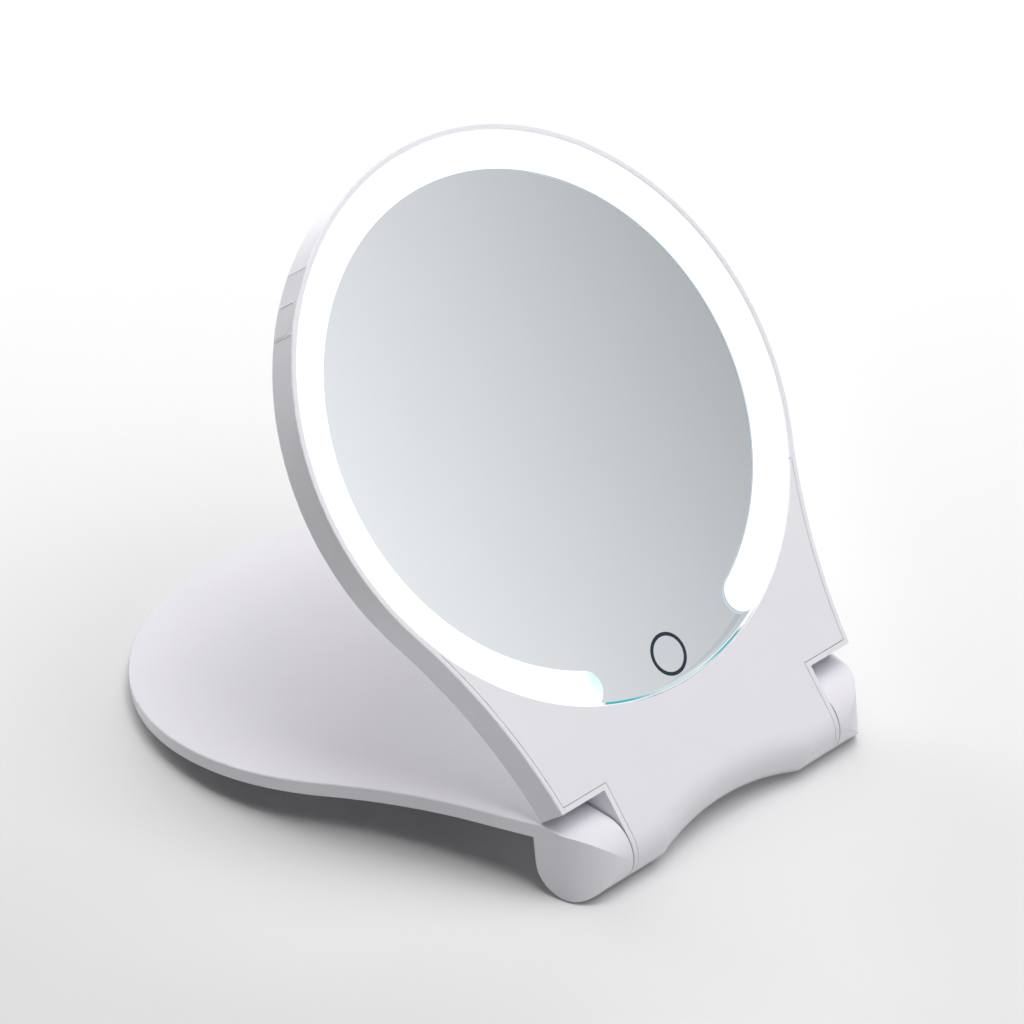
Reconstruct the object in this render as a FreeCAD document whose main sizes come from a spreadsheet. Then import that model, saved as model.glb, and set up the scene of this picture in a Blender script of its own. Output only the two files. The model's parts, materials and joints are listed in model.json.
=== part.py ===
"""Lighted travel mirror: a mirror leaf on a friction hinge over a lid-shaped base.

Each mirror piece is drawn flat in the leaf's own frame: X along the hinge, Y up the leaf and
Z out of the glass, with the hinge axis at the origin. The base is drawn the same way in its
own frame, with Z out of its top. Both frames are then turned about X to stand as in use.
"""
import FreeCAD, Part
import Sketcher
import math
import os

V = FreeCAD.Vector
X_AXIS = V(1, 0, 0)
Z_AXIS = V(0, 0, 1)

doc = FreeCAD.newDocument("LightedTravelMirror")
sheet = doc.addObject("Spreadsheet::Sheet", "Sizes")

# Driving sizes in millimetres and degrees
SIZES = [
    ("cut_overrun", "1.0", "how far every cut runs past the face it opens"),
    ("edge_find", "0.05", "how near an edge lies to be picked for rounding"),
    # Pose and hinge
    ("open_angle", "58.4", "angle between leaf and base in use"),
    ("stop_gap", "0.05", "gap left under the ears where they rest on the base"),
    ("barrel_radius", "9.2", "hinge barrel of the tongue and the knuckles"),
    ("tongue_half", "38.7", "half width of the leaf's tongue"),
    ("hinge_gap", "0.4", "gap between tongue and knuckle"),
    ("shaft_radius", "2.5", "hinge shaft"),
    ("shaft_start", "29.0", "shaft's inner end from the middle"),
    ("shaft_grip", "9.6", "length of shaft inside a knuckle"),
    ("shaft_play", "0.03", "running clearance of the shaft, on the radius"),
    ("shaft_block_half", "5.0", "half height of the block round a shaft"),
    ("shaft_block_top", "4.0", "block's top above the axis"),
    ("sleeve_wall", "1.5", "friction sleeve's wall"),
    ("sleeve_slot", "1.0", "slot along the friction sleeve"),
    ("washer_thick", "0.8", "thrust washer"),
    ("washer_sink", "0.6", "depth of the washer's seat"),
    ("washer_rim", "0.8", "washer's overlap past the sleeve, on the radius"),
    ("washer_play", "0.05", "washer's clearance, on the radius"),
    # Mirror leaf casing
    ("leaf_depth", "10.0", "leaf from front to back"),
    ("back_wall", "1.4", "rear wall of the leaf"),
    ("neck_rise", "24.9", "hinge axis to the lowest point of the disc"),
    ("ear_half", "53.8", "half width across the ears at their lower edge"),
    ("flank_radius", "160.0", "hollow curve of the leaf's sides"),
    ("rim_wall", "1.4", "wall round the glass"),
    ("seat_width", "1.4", "ledge under the diffuser and the front panel"),
    ("front_round", "0.35", "rounding of the leaf's front edge"),
    ("rear_round", "1.6", "rounding of the leaf's rear edge"),
    ("cavity_tip_angle", "16.3", "end of the hollow under the panel, before the flank meets the disc"),
    # Front panel below the glass
    ("panel_rim", "1.4", "casing's edge left round the panel"),
    ("panel_gap", "0.15", "gap line round the panel"),
    ("panel_thick", "1.8", "panel's skin"),
    ("panel_tip_angle", "5.6", "end of the panel's tips, before the flank meets the disc"),
    ("panel_seam", "2.4", "panel's lower edge behind the axis"),
    ("seam_gap", "0.1", "gap along that edge"),
    ("scoop_depth", "4.55", "finger scoop in the tongue's lower edge"),
    ("scoop_radius", "78.0", "curve of the finger scoop"),
    ("scoop_cut_angle", "60.0", "sweep of the scoop's cutter"),
    ("tower_radius", "2.6", "screw towers of the panel"),
    ("tower_foot", "1.4", "casing's boss under a screw tower"),
    ("tower_side", "9.3", "outer towers inside the ears"),
    ("tower_spread", "17.7", "inner towers inside the tongue's sides"),
    ("tower_lift", "5.0", "towers above the hollow's lower wall"),
    # Glass, coating and light
    ("glass_radius", "75.0", "mirror glass"),
    ("glass_thick", "3.2", "mirror glass"),
    ("glass_recess", "0.3", "glass below the rim's edge"),
    ("glass_gap", "0.1", "gap between glass and rim, on the radius"),
    ("glass_round", "0.25", "ground edge of the glass"),
    ("coating_thick", "0.1", "silvering with its protective paint"),
    ("light_width", "9.8", "clear light ring at the glass's edge"),
    ("light_gap_angle", "20.3", "half angle of the gap at the bottom of the ring"),
    ("light_corner", "5.2", "radius of the ring's round ends"),
    ("light_land", "0.5", "straight run of the ring's ends beside the rim"),
    ("print_turn", "1.4", "how far the printed glass sits turned in its rim"),
    ("touch_edge", "7.6", "touch ring's centre from the glass's edge"),
    ("touch_radius", "5.7", "touch ring's outer radius"),
    ("touch_line", "1.0", "touch ring's line"),
    ("guide_thick", "2.0", "opal diffuser"),
    ("guide_gap", "0.2", "diffuser's gap at its edges"),
    ("guide_gap_angle", "17.5", "half angle of the diffuser's gap"),
    ("reflector_thick", "0.1", "white sheet under the diffuser"),
    ("strip_thick", "0.2", "flexible strip of the lamps"),
    ("strip_gap_angle", "24.0", "half angle of the strip's gap"),
    ("lip_gap_angle", "26.0", "half angle of the gap in the carrier's ledge"),
    ("chip_gap_angle", "28.0", "half angle of the gap in the row of lamps"),
    ("chip_count", "49", "lamps round the strip"),
    ("chip_wide", "1.6", "lamp along the strip"),
    ("chip_tall", "1.2", "lamp across the strip"),
    ("chip_deep", "0.6", "lamp off the strip"),
    # Carrier behind the mirror
    ("carrier_thick", "1.2", "carrier plate"),
    ("carrier_lip", "2.3", "ledge under the diffuser's inner edge"),
    ("carrier_lip_thick", "1.0", "that ledge"),
    ("carrier_wall", "2.2", "wall down to the ledge"),
    ("carrier_foot_half", "16.0", "half width of the plate's foot round the touch contact"),
    ("carrier_foot_past", "3.8", "lower edge of that foot past the touch ring's centre"),
    ("tape_thick", "0.4", "bonding tape"),
    ("tape_margin", "4.2", "tape inside the carrier's edge"),
    ("tape_width", "20.0", "bonding tape"),
    ("boss_radius", "2.6", "screw bosses on the rear wall"),
    ("boss_margin", "12.2", "carrier bosses inside the carrier's edge"),
    # Electronics
    ("board_half", "18.0", "control board's half width"),
    ("board_past", "3.4", "control board's lower edge past the touch ring's centre"),
    ("board_tall", "27.4", "control board"),
    ("board_thick", "1.0", "control board"),
    ("board_stand", "0.4", "bosses under the board"),
    ("board_inset", "4.0", "board's screws and lead inside its edges"),
    ("contact_radius", "4.0", "foam contact under the touch ring"),
    ("contact_room", "0.6", "room round the contact, on the radius"),
    ("cell_wide_share", "0.935", "battery cell's width over the carrier's radius"),
    ("cell_tall_share", "0.7", "battery cell's height over the carrier's radius"),
    ("cell_thick", "3.0", "battery cell"),
    ("cell_round", "1.2", "battery cell's edges"),
    ("lead_radius", "0.6", "insulated wire"),
    ("lead_pitch", "3.0", "spacing of the battery's two wires"),
    ("lead_stub", "3.0", "straight end of a lead"),
    ("lead_room", "12.0", "charging lead's run beside the cell"),
    ("lead_turn", "14.0", "lower end of that run above the control board"),
    ("lead_landing", "13.4", "lamp lead's end above the board's lower edge"),
    ("chip_main", "6.0", "largest chip on the control board"),
    ("chip_small", "3.0", "smaller chips on the control board"),
    ("chip_height", "0.9", "chips on the control board"),
    ("chip_inset", "12.0", "row of the chips below the board's upper edge"),
    # Charging port
    ("port_angle", "48.7", "port from the top of the leaf, towards the left"),
    ("port_cover_long", "8.8", "port cover along the rim"),
    ("port_cover_thick", "0.6", "port cover"),
    ("port_cover_margin", "1.0", "rim left behind the cover"),
    ("port_gap", "0.3", "clearance of the port cover"),
    ("port_seam", "0.15", "seam at the cover's ends"),
    ("grip_angle", "41.85", "finger flat above the port cover, from the top of the leaf"),
    ("grip_long", "9.26", "finger flat along the rim"),
    ("grip_deep", "0.1", "finger flat's ends below the rim's wall"),
    ("plug_long", "6.4", "cover's plug along the rim"),
    ("plug_tall", "1.4", "cover's plug"),
    ("plug_deep", "0.7", "cover's plug"),
    ("socket_long", "7.6", "charging socket along the rim"),
    ("socket_deep", "5.5", "charging socket into the leaf"),
    ("socket_tall", "2.6", "charging socket"),
    ("socket_wall", "0.4", "charging socket's shell"),
    ("socket_lift", "0.15", "socket above the rear wall"),
    ("socket_room", "0.2", "room round the socket in the rim"),
    ("tongue_long_share", "0.75", "socket tongue's width over the mouth's"),
    ("tongue_deep_share", "0.8", "socket tongue's length over the socket's"),
    ("charge_board_wide", "12.0", "charging board"),
    ("charge_board_long", "10.0", "charging board"),
    ("charge_board_thick", "0.8", "charging board"),
    # Screws
    ("screw_radius", "1.0", "screw shank"),
    ("screw_play", "0.05", "clearance of a screw, on the radius"),
    ("screw_head_radius", "1.8", "screw head"),
    ("screw_head_tall", "0.8", "screw head"),
    ("screw_slot", "0.5", "driver slot"),
    ("carrier_screw_long", "2.6", "shank in the carrier's bosses"),
    ("board_screw_long", "0.9", "shank below the control board"),
    ("panel_screw_long", "4.5", "shank in the panel's towers"),
    # Base
    ("lid_gap", "0.3", "glass side of the closed leaf to the base's skin"),
    ("lid_skin", "1.3", "base plate"),
    ("lid_edge", "3.7", "depth of the base's edge"),
    ("lid_clear", "0.6", "closed leaf to the base's edge wall"),
    ("lid_wall", "1.9", "base's edge wall"),
    ("lid_round", "0.5", "rounding of the base's upper edge"),
    ("plate_front", "8.6", "front edge of the base plate behind the axis"),
    ("knuckle_crease", "7.5", "where the knuckle's top leaves the plate"),
    ("knuckle_lap", "1.0", "knuckle's lap into the plate"),
    ("taper_start", "27.0", "where the base's sides turn straight, behind the axis"),
    ("knuckle_corner", "13.0", "rounded outer corner of a knuckle in plan"),
    ("foot_depth", "0.5", "flat cut under a knuckle"),
    ("foot_thick", "1.0", "anti-slip pad"),
    ("foot_long", "9.0", "anti-slip pad along the hinge"),
    ("foot_start", "41.5", "pad's inner end from the middle"),
    ("foot_inset", "0.4", "pad inside the flat"),
    ("foot_round", "1.2", "pad's corners in plan"),
]

# Sizes worked out from the driving ones
DERIVED = [
    ("leaf_front", "barrel_radius"),
    ("leaf_back", "barrel_radius - leaf_depth"),
    ("cavity_floor", "leaf_back + back_wall"),
    ("leaf_radius", "glass_radius + glass_gap + rim_wall"),
    ("disc_rise", "leaf_radius + neck_rise"),
    ("lid_top", "leaf_front + lid_gap + lid_skin"),
    ("lid_bottom", "lid_top - lid_edge"),
    ("lid_under", "lid_top - lid_skin"),
    ("lid_hollow", "lid_under - lid_bottom"),
    ("ear_bottom", "(lid_top + stop_gap - leaf_back * cos(open_angle)) / sin(open_angle)"),
    ("ear_reach", "hypot(ear_half; disc_rise - ear_bottom)"),
    ("flank_sum", "leaf_radius + flank_radius"),
    ("ear_turn", "acos((ear_reach ^ 2 + flank_radius ^ 2 - flank_sum ^ 2)"
                 " / (2 * ear_reach * flank_radius)) - atan(ear_half / (disc_rise - ear_bottom))"),
    ("flank_x", "ear_half + flank_radius * sin(ear_turn)"),
    ("flank_y", "ear_bottom + flank_radius * cos(ear_turn)"),
    ("tangent_angle", "atan(flank_x / (disc_rise - flank_y))"),
    ("panel_angle", "tangent_angle - panel_tip_angle * 1 deg"),
    ("panel_end_angle", "panel_angle - panel_gap / leaf_radius * 180 / pi * 1 deg"),
    ("cavity_angle", "tangent_angle - cavity_tip_angle * 1 deg"),
    ("foot_proud", "foot_thick - foot_depth"),
    ("axis_height", "barrel_radius + foot_proud"),
    # Levels of the stack behind the glass
    ("glass_front", "leaf_front - glass_recess"),
    ("glass_back", "glass_front - glass_thick"),
    ("coating_back", "glass_back - coating_thick"),
    ("guide_back", "coating_back - guide_thick"),
    ("reflector_back", "guide_back - reflector_thick"),
    ("carrier_top", "coating_back - tape_thick"),
    ("carrier_back", "carrier_top - carrier_thick"),
    ("carrier_lip_back", "reflector_back - carrier_lip_thick"),
    ("board_back", "cavity_floor + board_stand"),
    ("board_top", "board_back + board_thick"),
    ("seat_radius", "glass_radius + glass_gap"),
    ("well_radius", "glass_radius - seat_width"),
    # Screws
    ("screw_hole", "screw_radius + screw_play"),
    ("head_hole", "screw_head_radius + screw_play"),
    ("head_sink", "screw_head_tall + screw_play"),
    ("slot_half", "screw_slot / 2"),
    ("slot_depth", "screw_head_tall / 2"),
    ("carrier_head", "carrier_top - head_sink"),
    ("panel_head", "leaf_back + head_sink"),
    ("tower_level", "cavity_floor + tower_foot"),
    ("tower_hole_top", "tower_level + panel_screw_long + screw_play"),
    # Light ring
    ("light_radius", "glass_radius - light_width"),
    ("touch_reach", "glass_radius - touch_edge"),
    ("touch_y", "disc_rise - touch_reach"),
    ("touch_inner", "touch_radius - touch_line"),
    ("guide_outer", "glass_radius - guide_gap"),
    ("guide_inner", "light_radius"),
    ("chip_outer", "guide_inner - guide_gap"),
    ("strip_outer", "chip_outer - chip_deep"),
    ("carrier_radius", "strip_outer - strip_thick"),
    ("tape_outer", "carrier_radius - tape_margin"),
    ("tape_inner", "tape_outer - tape_width"),
    ("boss_reach", "carrier_radius - boss_margin"),
    ("carrier_foot_reach", "touch_reach + carrier_foot_past"),
    ("board_low", "touch_y - board_past"),
    ("board_high", "board_low + board_tall"),
    ("board_screw_x", "board_half - board_inset"),
    ("board_screw_y", "board_high - board_inset"),
    ("chip_row", "board_high - chip_inset"),
    ("cell_wide", "carrier_radius * cell_wide_share"),
    ("cell_tall", "carrier_radius * cell_tall_share"),
    ("lip_outer", "carrier_radius + carrier_lip"),
    ("lip_inner", "carrier_radius - carrier_wall"),
    ("chip_half", "chip_wide / 2"),
    ("chip_low", "carrier_top - chip_tall"),
    ("chip_first", "chip_gap_angle - 180"),
    ("chip_sweep", "360 - 2 * chip_gap_angle"),
    ("contact_window", "contact_radius + contact_room"),
    ("contact_tall", "coating_back - board_top"),
    ("carrier_foot_low", "disc_rise - carrier_foot_reach"),
    ("carrier_foot_high", "touch_y + 2 * contact_radius"),
    ("cell_half_wide", "cell_wide / 2"),
    ("cell_half_tall", "cell_tall / 2"),
    ("cell_low", "disc_rise - cell_half_tall"),
    ("charge_lead_x", "cell_half_wide + lead_room"),
    ("charge_lead_low", "board_high + lead_turn"),
    ("lead_end", "board_high + lead_stub"),
    ("charge_stub", "charge_board_in - lead_stub"),
    ("led_lead_y", "board_low + lead_landing"),
    ("corner_reach", "light_radius + light_corner"),
    ("corner_angle", "light_gap_angle * 1 deg + asin(light_corner / corner_reach)"),
    ("corner_foot", "glass_radius - light_land"),
    ("corner_chord", "corner_foot ^ 2 + corner_reach ^ 2 - light_corner ^ 2"),
    ("corner_rim", "corner_angle - acos(corner_chord / (2 * corner_foot * corner_reach))"),
    # Hinge
    ("knuckle_inner", "tongue_half + hinge_gap"),
    ("shaft_end", "knuckle_inner + shaft_grip"),
    ("shaft_long", "shaft_end - shaft_start"),
    ("block_long", "tongue_half - shaft_start"),
    ("sleeve_inner", "shaft_radius + shaft_play"),
    ("sleeve_outer", "sleeve_inner + sleeve_wall"),
    ("washer_outer", "sleeve_outer + washer_rim"),
    ("washer_inner", "shaft_radius + washer_play"),
    ("washer_seat", "washer_outer + washer_play"),
    ("sleeve_start", "knuckle_inner + washer_sink"),
    ("sleeve_long", "shaft_end - sleeve_start"),
    ("bore_end", "shaft_end + hinge_gap"),
    ("sleeve_hole", "bore_end - knuckle_inner"),
    ("slot_long", "sleeve_wall + cut_overrun"),
    # Tongue and scoop
    ("scoop_centre", "scoop_radius + barrel_radius"),
    ("scoop_axis", "scoop_depth - scoop_centre"),
    ("scoop_wall_angle", "2 * acos((scoop_centre - scoop_depth) / scoop_centre)"),
    ("barrel_inner", "barrel_radius - panel_thick"),
    ("panel_back", "leaf_front - panel_thick"),
    ("recess_half", "tongue_half - panel_rim"),
    ("panel_half", "recess_half - panel_gap"),
    ("shell_seam", "panel_seam + seam_gap"),
    ("panel_inner", "glass_radius + glass_gap + panel_gap"),
    ("barrel_beyond", "barrel_radius + cut_overrun"),
    ("seam_out", "sqrt(barrel_radius ^ 2 - panel_seam ^ 2)"),
    ("seam_in", "sqrt(barrel_inner ^ 2 - panel_seam ^ 2)"),
    ("scoop_seam_out", "scoop_depth - seam_out"),
    ("scoop_seam_in", "scoop_depth - seam_in"),
    # Port
    ("port_recess", "leaf_radius - port_cover_thick - port_gap"),
    ("port_cover_back", "leaf_radius - port_cover_thick"),
    ("port_beyond", "leaf_radius + cut_overrun"),
    ("port_half_angle", "port_cover_long / leaf_radius * 90 / pi"),
    ("port_recess_angle", "port_half_angle + port_seam / leaf_radius * 180 / pi"),
    ("port_pin_radius", "leaf_radius - port_cover_thick / 2"),
    ("port_pin_angle", "port_half_angle - port_cover_thick / leaf_radius * 90 / pi"),
    ("groove_radius", "leaf_radius - port_seam"),
    ("grip_half", "grip_long / 2"),
    ("grip_reach", "sqrt(leaf_radius ^ 2 - grip_half ^ 2) - grip_deep"),
    ("port_low", "leaf_back + port_cover_margin"),
    ("port_high", "lid_bottom - port_gap"),
    ("socket_low", "cavity_floor + socket_lift"),
    ("socket_outer", "glass_radius"),
    ("socket_inner", "socket_outer - socket_deep"),
    ("socket_high", "socket_low + socket_tall"),
    ("socket_mouth_long", "socket_long - 2 * socket_wall"),
    ("socket_mouth_tall", "socket_tall - 2 * socket_wall"),
    ("socket_tongue_long", "socket_mouth_long * tongue_long_share"),
    ("socket_tongue_deep", "socket_deep * tongue_deep_share"),
    ("cover_low", "port_low + port_seam"),
    ("cover_tall", "port_high - port_low - 2 * port_seam"),
    ("plug_low", "socket_low + (socket_tall - plug_tall) / 2"),
    ("charge_board_in", "socket_inner - charge_board_long"),
    # Base
    ("lid_reach", "disc_rise + leaf_radius + lid_clear + lid_wall"),
    ("base_slope", "asin(axis_height / hypot(lid_reach; lid_bottom)) + atan(lid_bottom / lid_reach)"),
    ("leaf_tilt", "open_angle * 1 deg - base_slope"),
    ("base_back", "lid_reach * cos(base_slope) + lid_top * sin(base_slope)"),
    ("frame_y", "(barrel_radius - base_back) / 2"),
    ("foot_plane", "barrel_radius - foot_depth"),
    ("foot_half", "sqrt(barrel_radius ^ 2 - foot_plane ^ 2)"),
]


def set_cell(row, alias, text, note=""):
    sheet.set("A%d" % row, alias)
    sheet.set("B%d" % row, text)
    sheet.setAlias("B%d" % row, alias)
    sheet.set("C%d" % row, note)


def outline_cells(prefix, inset, lower_edge):
    """Cells of the leaf's outline moved inwards by a formula, ending at a lower edge."""
    return [
        (prefix + "_radius", "leaf_radius - (%s)" % inset),
        (prefix + "_flank", "flank_radius + (%s)" % inset),
        (prefix + "_ear_y", lower_edge),
        (prefix + "_ear_x", "flank_x - sqrt({0}_flank ^ 2 - ({0}_ear_y - flank_y) ^ 2)".format(prefix)),
        (prefix + "_tan_x", "flank_x * %s_radius / flank_sum" % prefix),
        (prefix + "_tan_y", "disc_rise + (flank_y - disc_rise) * %s_radius / flank_sum" % prefix),
    ]


def flank_end_cells(prefix, angle):
    """Cells of the point where a ray from the mirror's centre meets a flank."""
    return [
        (prefix + "_ray", "flank_x * sin({0}) - (flank_y - disc_rise) * cos({0})".format(angle)),
        (prefix + "_end", "{0}_ray - sqrt({0}_ray ^ 2 - flank_x ^ 2 - (flank_y - disc_rise) ^ 2"
                          " + {0}_flank ^ 2)".format(prefix)),
    ] + polar_cells(prefix + "_end", prefix + "_end", angle)


def polar_cells(prefix, reach, angle):
    """Cells of a point at a reach from the mirror's centre, turned right from straight down."""
    return [
        (prefix + "_x", "{0} * sin({1})".format(reach, angle)),
        (prefix + "_y", "disc_rise - {0} * cos({1})".format(reach, angle)),
    ]


def rim_cells(prefix, reach, along):
    """Cells of a point at the charging port: out from the centre and along the rim."""
    return [
        (prefix + "_x", "-({0}) * sin(port_angle) + ({1}) * cos(port_angle)".format(reach, along)),
        (prefix + "_y", "disc_rise + ({0}) * cos(port_angle) + ({1}) * sin(port_angle)".format(reach, along)),
    ]


def turned_cells(prefix, reach, angle, sign=""):
    """Cells of a point on a circle round the mirror's centre, turned from the port's middle."""
    return rim_cells(prefix, "{0} * cos({1})".format(reach, angle),
                     "{2}{0} * sin({1})".format(reach, angle, sign))


DERIVED += outline_cells("leaf_edge", "0", "ear_bottom")
DERIVED += outline_cells("recess", "panel_rim", "ear_bottom + panel_rim")
DERIVED += flank_end_cells("recess", "panel_angle")
DERIVED += outline_cells("panel", "panel_rim + panel_gap", "ear_bottom + panel_rim + panel_gap")
DERIVED += flank_end_cells("panel", "panel_end_angle")
DERIVED += polar_cells("panel_tip", "panel_inner", "panel_end_angle")
DERIVED += polar_cells("recess_in", "well_radius", "panel_angle")
DERIVED += outline_cells("hollow", "panel_rim + seat_width", "ear_bottom + panel_rim + seat_width")
DERIVED += flank_end_cells("hollow", "cavity_angle")
DERIVED += [
    ("tower_outer_x", "ear_half - tower_side"),
    ("tower_inner_x", "tongue_half - tower_spread"),
    ("tower_y", "hollow_ear_y + tower_lift"),
]
DERIVED += polar_cells("hollow_in", "leaf_radius", "cavity_angle")
DERIVED += outline_cells("lid", "-lid_clear - lid_wall", "plate_front")
DERIVED += outline_cells("lid_inside", "-lid_clear", "plate_front - cut_overrun")
DERIVED += polar_cells("coat_rim", "glass_radius", "corner_rim")
DERIVED += polar_cells("coat_foot", "corner_foot", "corner_rim")
DERIVED += polar_cells("coat_bend", "light_radius", "corner_angle")
DERIVED += polar_cells("coat_corner", "corner_reach", "corner_angle")
DERIVED += polar_cells("guide_out", "guide_outer", "guide_gap_angle")
DERIVED += polar_cells("guide_in", "guide_inner", "guide_gap_angle")
DERIVED += polar_cells("strip_out", "strip_outer", "strip_gap_angle")
DERIVED += polar_cells("strip_in", "carrier_radius", "strip_gap_angle")
DERIVED += polar_cells("lip_out", "lip_outer", "lip_gap_angle")
DERIVED += polar_cells("lip_in", "lip_inner", "lip_gap_angle")
DERIVED += polar_cells("wall_out", "carrier_radius", "lip_gap_angle")
DERIVED += turned_cells("cover_in_a", "port_cover_back", "port_half_angle")
DERIVED += turned_cells("cover_out_a", "leaf_radius", "port_half_angle")
DERIVED += turned_cells("cover_in_b", "port_cover_back", "port_pin_angle", "-")
DERIVED += turned_cells("cover_out_b", "leaf_radius", "port_pin_angle", "-")
DERIVED += turned_cells("cover_pin", "port_pin_radius", "port_pin_angle", "-")
for end, sign in (("a", ""), ("b", "-")):
    DERIVED += turned_cells("port_floor_" + end, "port_recess", "port_recess_angle", sign)
    DERIVED += turned_cells("port_mouth_" + end, "port_beyond", "port_recess_angle", sign)
    DERIVED += turned_cells("groove_in_" + end, "groove_radius", "port_half_angle", sign)
    DERIVED += turned_cells("groove_far_" + end, "groove_radius", "port_recess_angle", sign)
    DERIVED += turned_cells("groove_out_" + end, "port_beyond", "port_half_angle", sign)
    DERIVED += rim_cells("plug_out_" + end, "port_cover_back", sign + "plug_long / 2")
    DERIVED += rim_cells("plug_in_" + end, "port_cover_back - plug_deep", sign + "plug_long / 2")
    DERIVED += rim_cells("hole_out_" + end, "port_beyond", sign + "(socket_long / 2 + socket_room)")
    DERIVED += rim_cells("hole_in_" + end, "glass_radius - seat_width - cut_overrun",
                         sign + "(socket_long / 2 + socket_room)")
DERIVED += [
    ("strip_middle", "carrier_radius + strip_thick / 2"),
    ("tail_angle", "strip_gap_angle - lead_radius / strip_middle * 180 / pi"),
    ("tail_hole", "lead_radius + screw_play"),
    ("tail_top", "carrier_top - lead_radius"),
    ("lead_floor", "cavity_floor + lead_radius"),
    ("lead_board", "board_top + lead_radius"),
    # Sides of the base: the flank's curve, a straight taper and the knuckle's corner
    ("taper_run", "sqrt(lid_flank ^ 2 - (taper_start - flank_y) ^ 2)"),
    ("taper_x", "flank_x - taper_run"),
    ("taper_slope", "(taper_start - flank_y) / taper_run"),
    ("taper_long", "hypot(1; taper_slope)"),
    ("lid_front_x", "taper_x - taper_slope * (taper_start - plate_front)"),
    ("corner_y", "knuckle_corner - barrel_radius"),
    ("corner_x", "taper_x - taper_slope * (taper_start - corner_y) - knuckle_corner * taper_long"),
    ("corner_tan_x", "corner_x + knuckle_corner / taper_long"),
    ("corner_tan_y", "corner_y - knuckle_corner * taper_slope / taper_long"),
    ("corner_far", "lid_front_x + cut_overrun"),
    ("lid_beyond", "lid_top + cut_overrun"),
    ("knuckle_long", "lid_front_x - knuckle_inner"),
    ("knuckle_back", "plate_front + knuckle_lap"),
    ("crease_reach", "hypot(knuckle_crease; lid_top)"),
    ("crease_turn", "atan(lid_top / knuckle_crease) + acos(barrel_radius / crease_reach)"),
    ("crease_foot_x", "barrel_radius * cos(crease_turn)"),
    ("crease_foot_y", "barrel_radius * sin(crease_turn)"),
    # The flat under a knuckle is level when the base stands on its pads
    ("flat_a_x", "foot_plane * sin(base_slope) - foot_half * cos(base_slope)"),
    ("flat_a_y", "-foot_plane * cos(base_slope) - foot_half * sin(base_slope)"),
    ("flat_b_x", "foot_plane * sin(base_slope) + foot_half * cos(base_slope)"),
    ("flat_b_y", "-foot_plane * cos(base_slope) + foot_half * sin(base_slope)"),
    ("flat_c_x", "barrel_beyond * sin(base_slope) + foot_half * cos(base_slope)"),
    ("flat_c_y", "-barrel_beyond * cos(base_slope) + foot_half * sin(base_slope)"),
    ("flat_d_x", "barrel_beyond * sin(base_slope) - foot_half * cos(base_slope)"),
    ("flat_d_y", "-barrel_beyond * cos(base_slope) - foot_half * sin(base_slope)"),
    ("pad_half", "foot_half - foot_inset"),
    ("pad_end", "foot_start + foot_long"),
    ("seat_near", "foot_start - foot_inset"),
    ("seat_far", "pad_end + foot_inset"),
]
DERIVED += polar_cells("tail", "strip_middle", "tail_angle")
DERIVED += rim_cells("charge_start", "charge_board_in", "0")
DERIVED += rim_cells("charge_turn", "charge_stub", "0")
BOSS_TURNS = [45, 135, 225, 315]
for boss_turn in BOSS_TURNS:
    DERIVED += polar_cells("boss_%d" % boss_turn, "boss_reach", boss_turn)

rows = [(alias, text, note) for alias, text, note in SIZES]
rows += [(alias, "=" + formula, "") for alias, formula in DERIVED]
for number, (alias, text, note) in enumerate(rows, start=1):
    set_cell(number, alias, text, note)
doc.recompute()


def value(name):
    """The number in a named cell; a leading minus turns its sign and 0 is zero."""
    if name == "0":
        return 0.0
    if name.startswith("-"):
        return -value(name[1:])
    cell = getattr(sheet, name)
    return getattr(cell, "Value", cell)


def bound(name):
    """The expression that ties a feature to a named cell."""
    return "-Sizes." + name[1:] if name.startswith("-") else "Sizes." + name


def flip(name):
    return name[1:] if name.startswith("-") else "-" + name


def mirrored(point):
    return (flip(point[0]), point[1])


def tie(feature, **cells):
    for prop, name in cells.items():
        feature.setExpression(prop, bound(name))


LEAF = FreeCAD.Placement(
    V(0, value("frame_y"), value("axis_height")),
    FreeCAD.Rotation(X_AXIS, value("leaf_tilt")),
)
PRINT = LEAF.multiply(FreeCAD.Placement(
    V(),
    FreeCAD.Rotation(Z_AXIS, value("print_turn")),
    V(0, value("disc_rise"), 0),
))
BASE = FreeCAD.Placement(
    V(0, value("frame_y"), value("axis_height")),
    FreeCAD.Rotation(X_AXIS, -value("base_slope")),
)
FLOOR = FreeCAD.Placement(V(0, value("frame_y"), 0), FreeCAD.Rotation())

pieces = {}


def seat(piece, label, place):
    """Give a finished sub-part its label and its place on the object."""
    piece.Label = label
    piece.Placement = place.multiply(piece.Placement)
    pieces[label] = piece
    return piece


# Sketches

def new_sketch(body, role, lift=None, at=None, turn=None):
    """A sketch on an origin plane, lifted, moved and turned by named cells."""
    planes = {feature.Role: feature for feature in body.Origin.OriginFeatures}
    sketch = body.newObject("Sketcher::SketchObject", body.Name + "_sketch")
    sketch.AttachmentSupport = [(planes[role], "")]
    sketch.MapMode = "FlatFace"
    if turn:
        sketch.AttachmentOffset = FreeCAD.Placement(V(), FreeCAD.Rotation(Z_AXIS, value(turn)))
    for axis, name in zip("xyz", (at or ("0", "0")) + (lift or "0",)):
        if name != "0":
            sketch.setExpression("AttachmentOffset.Base." + axis, bound(name))
    return sketch


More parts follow.
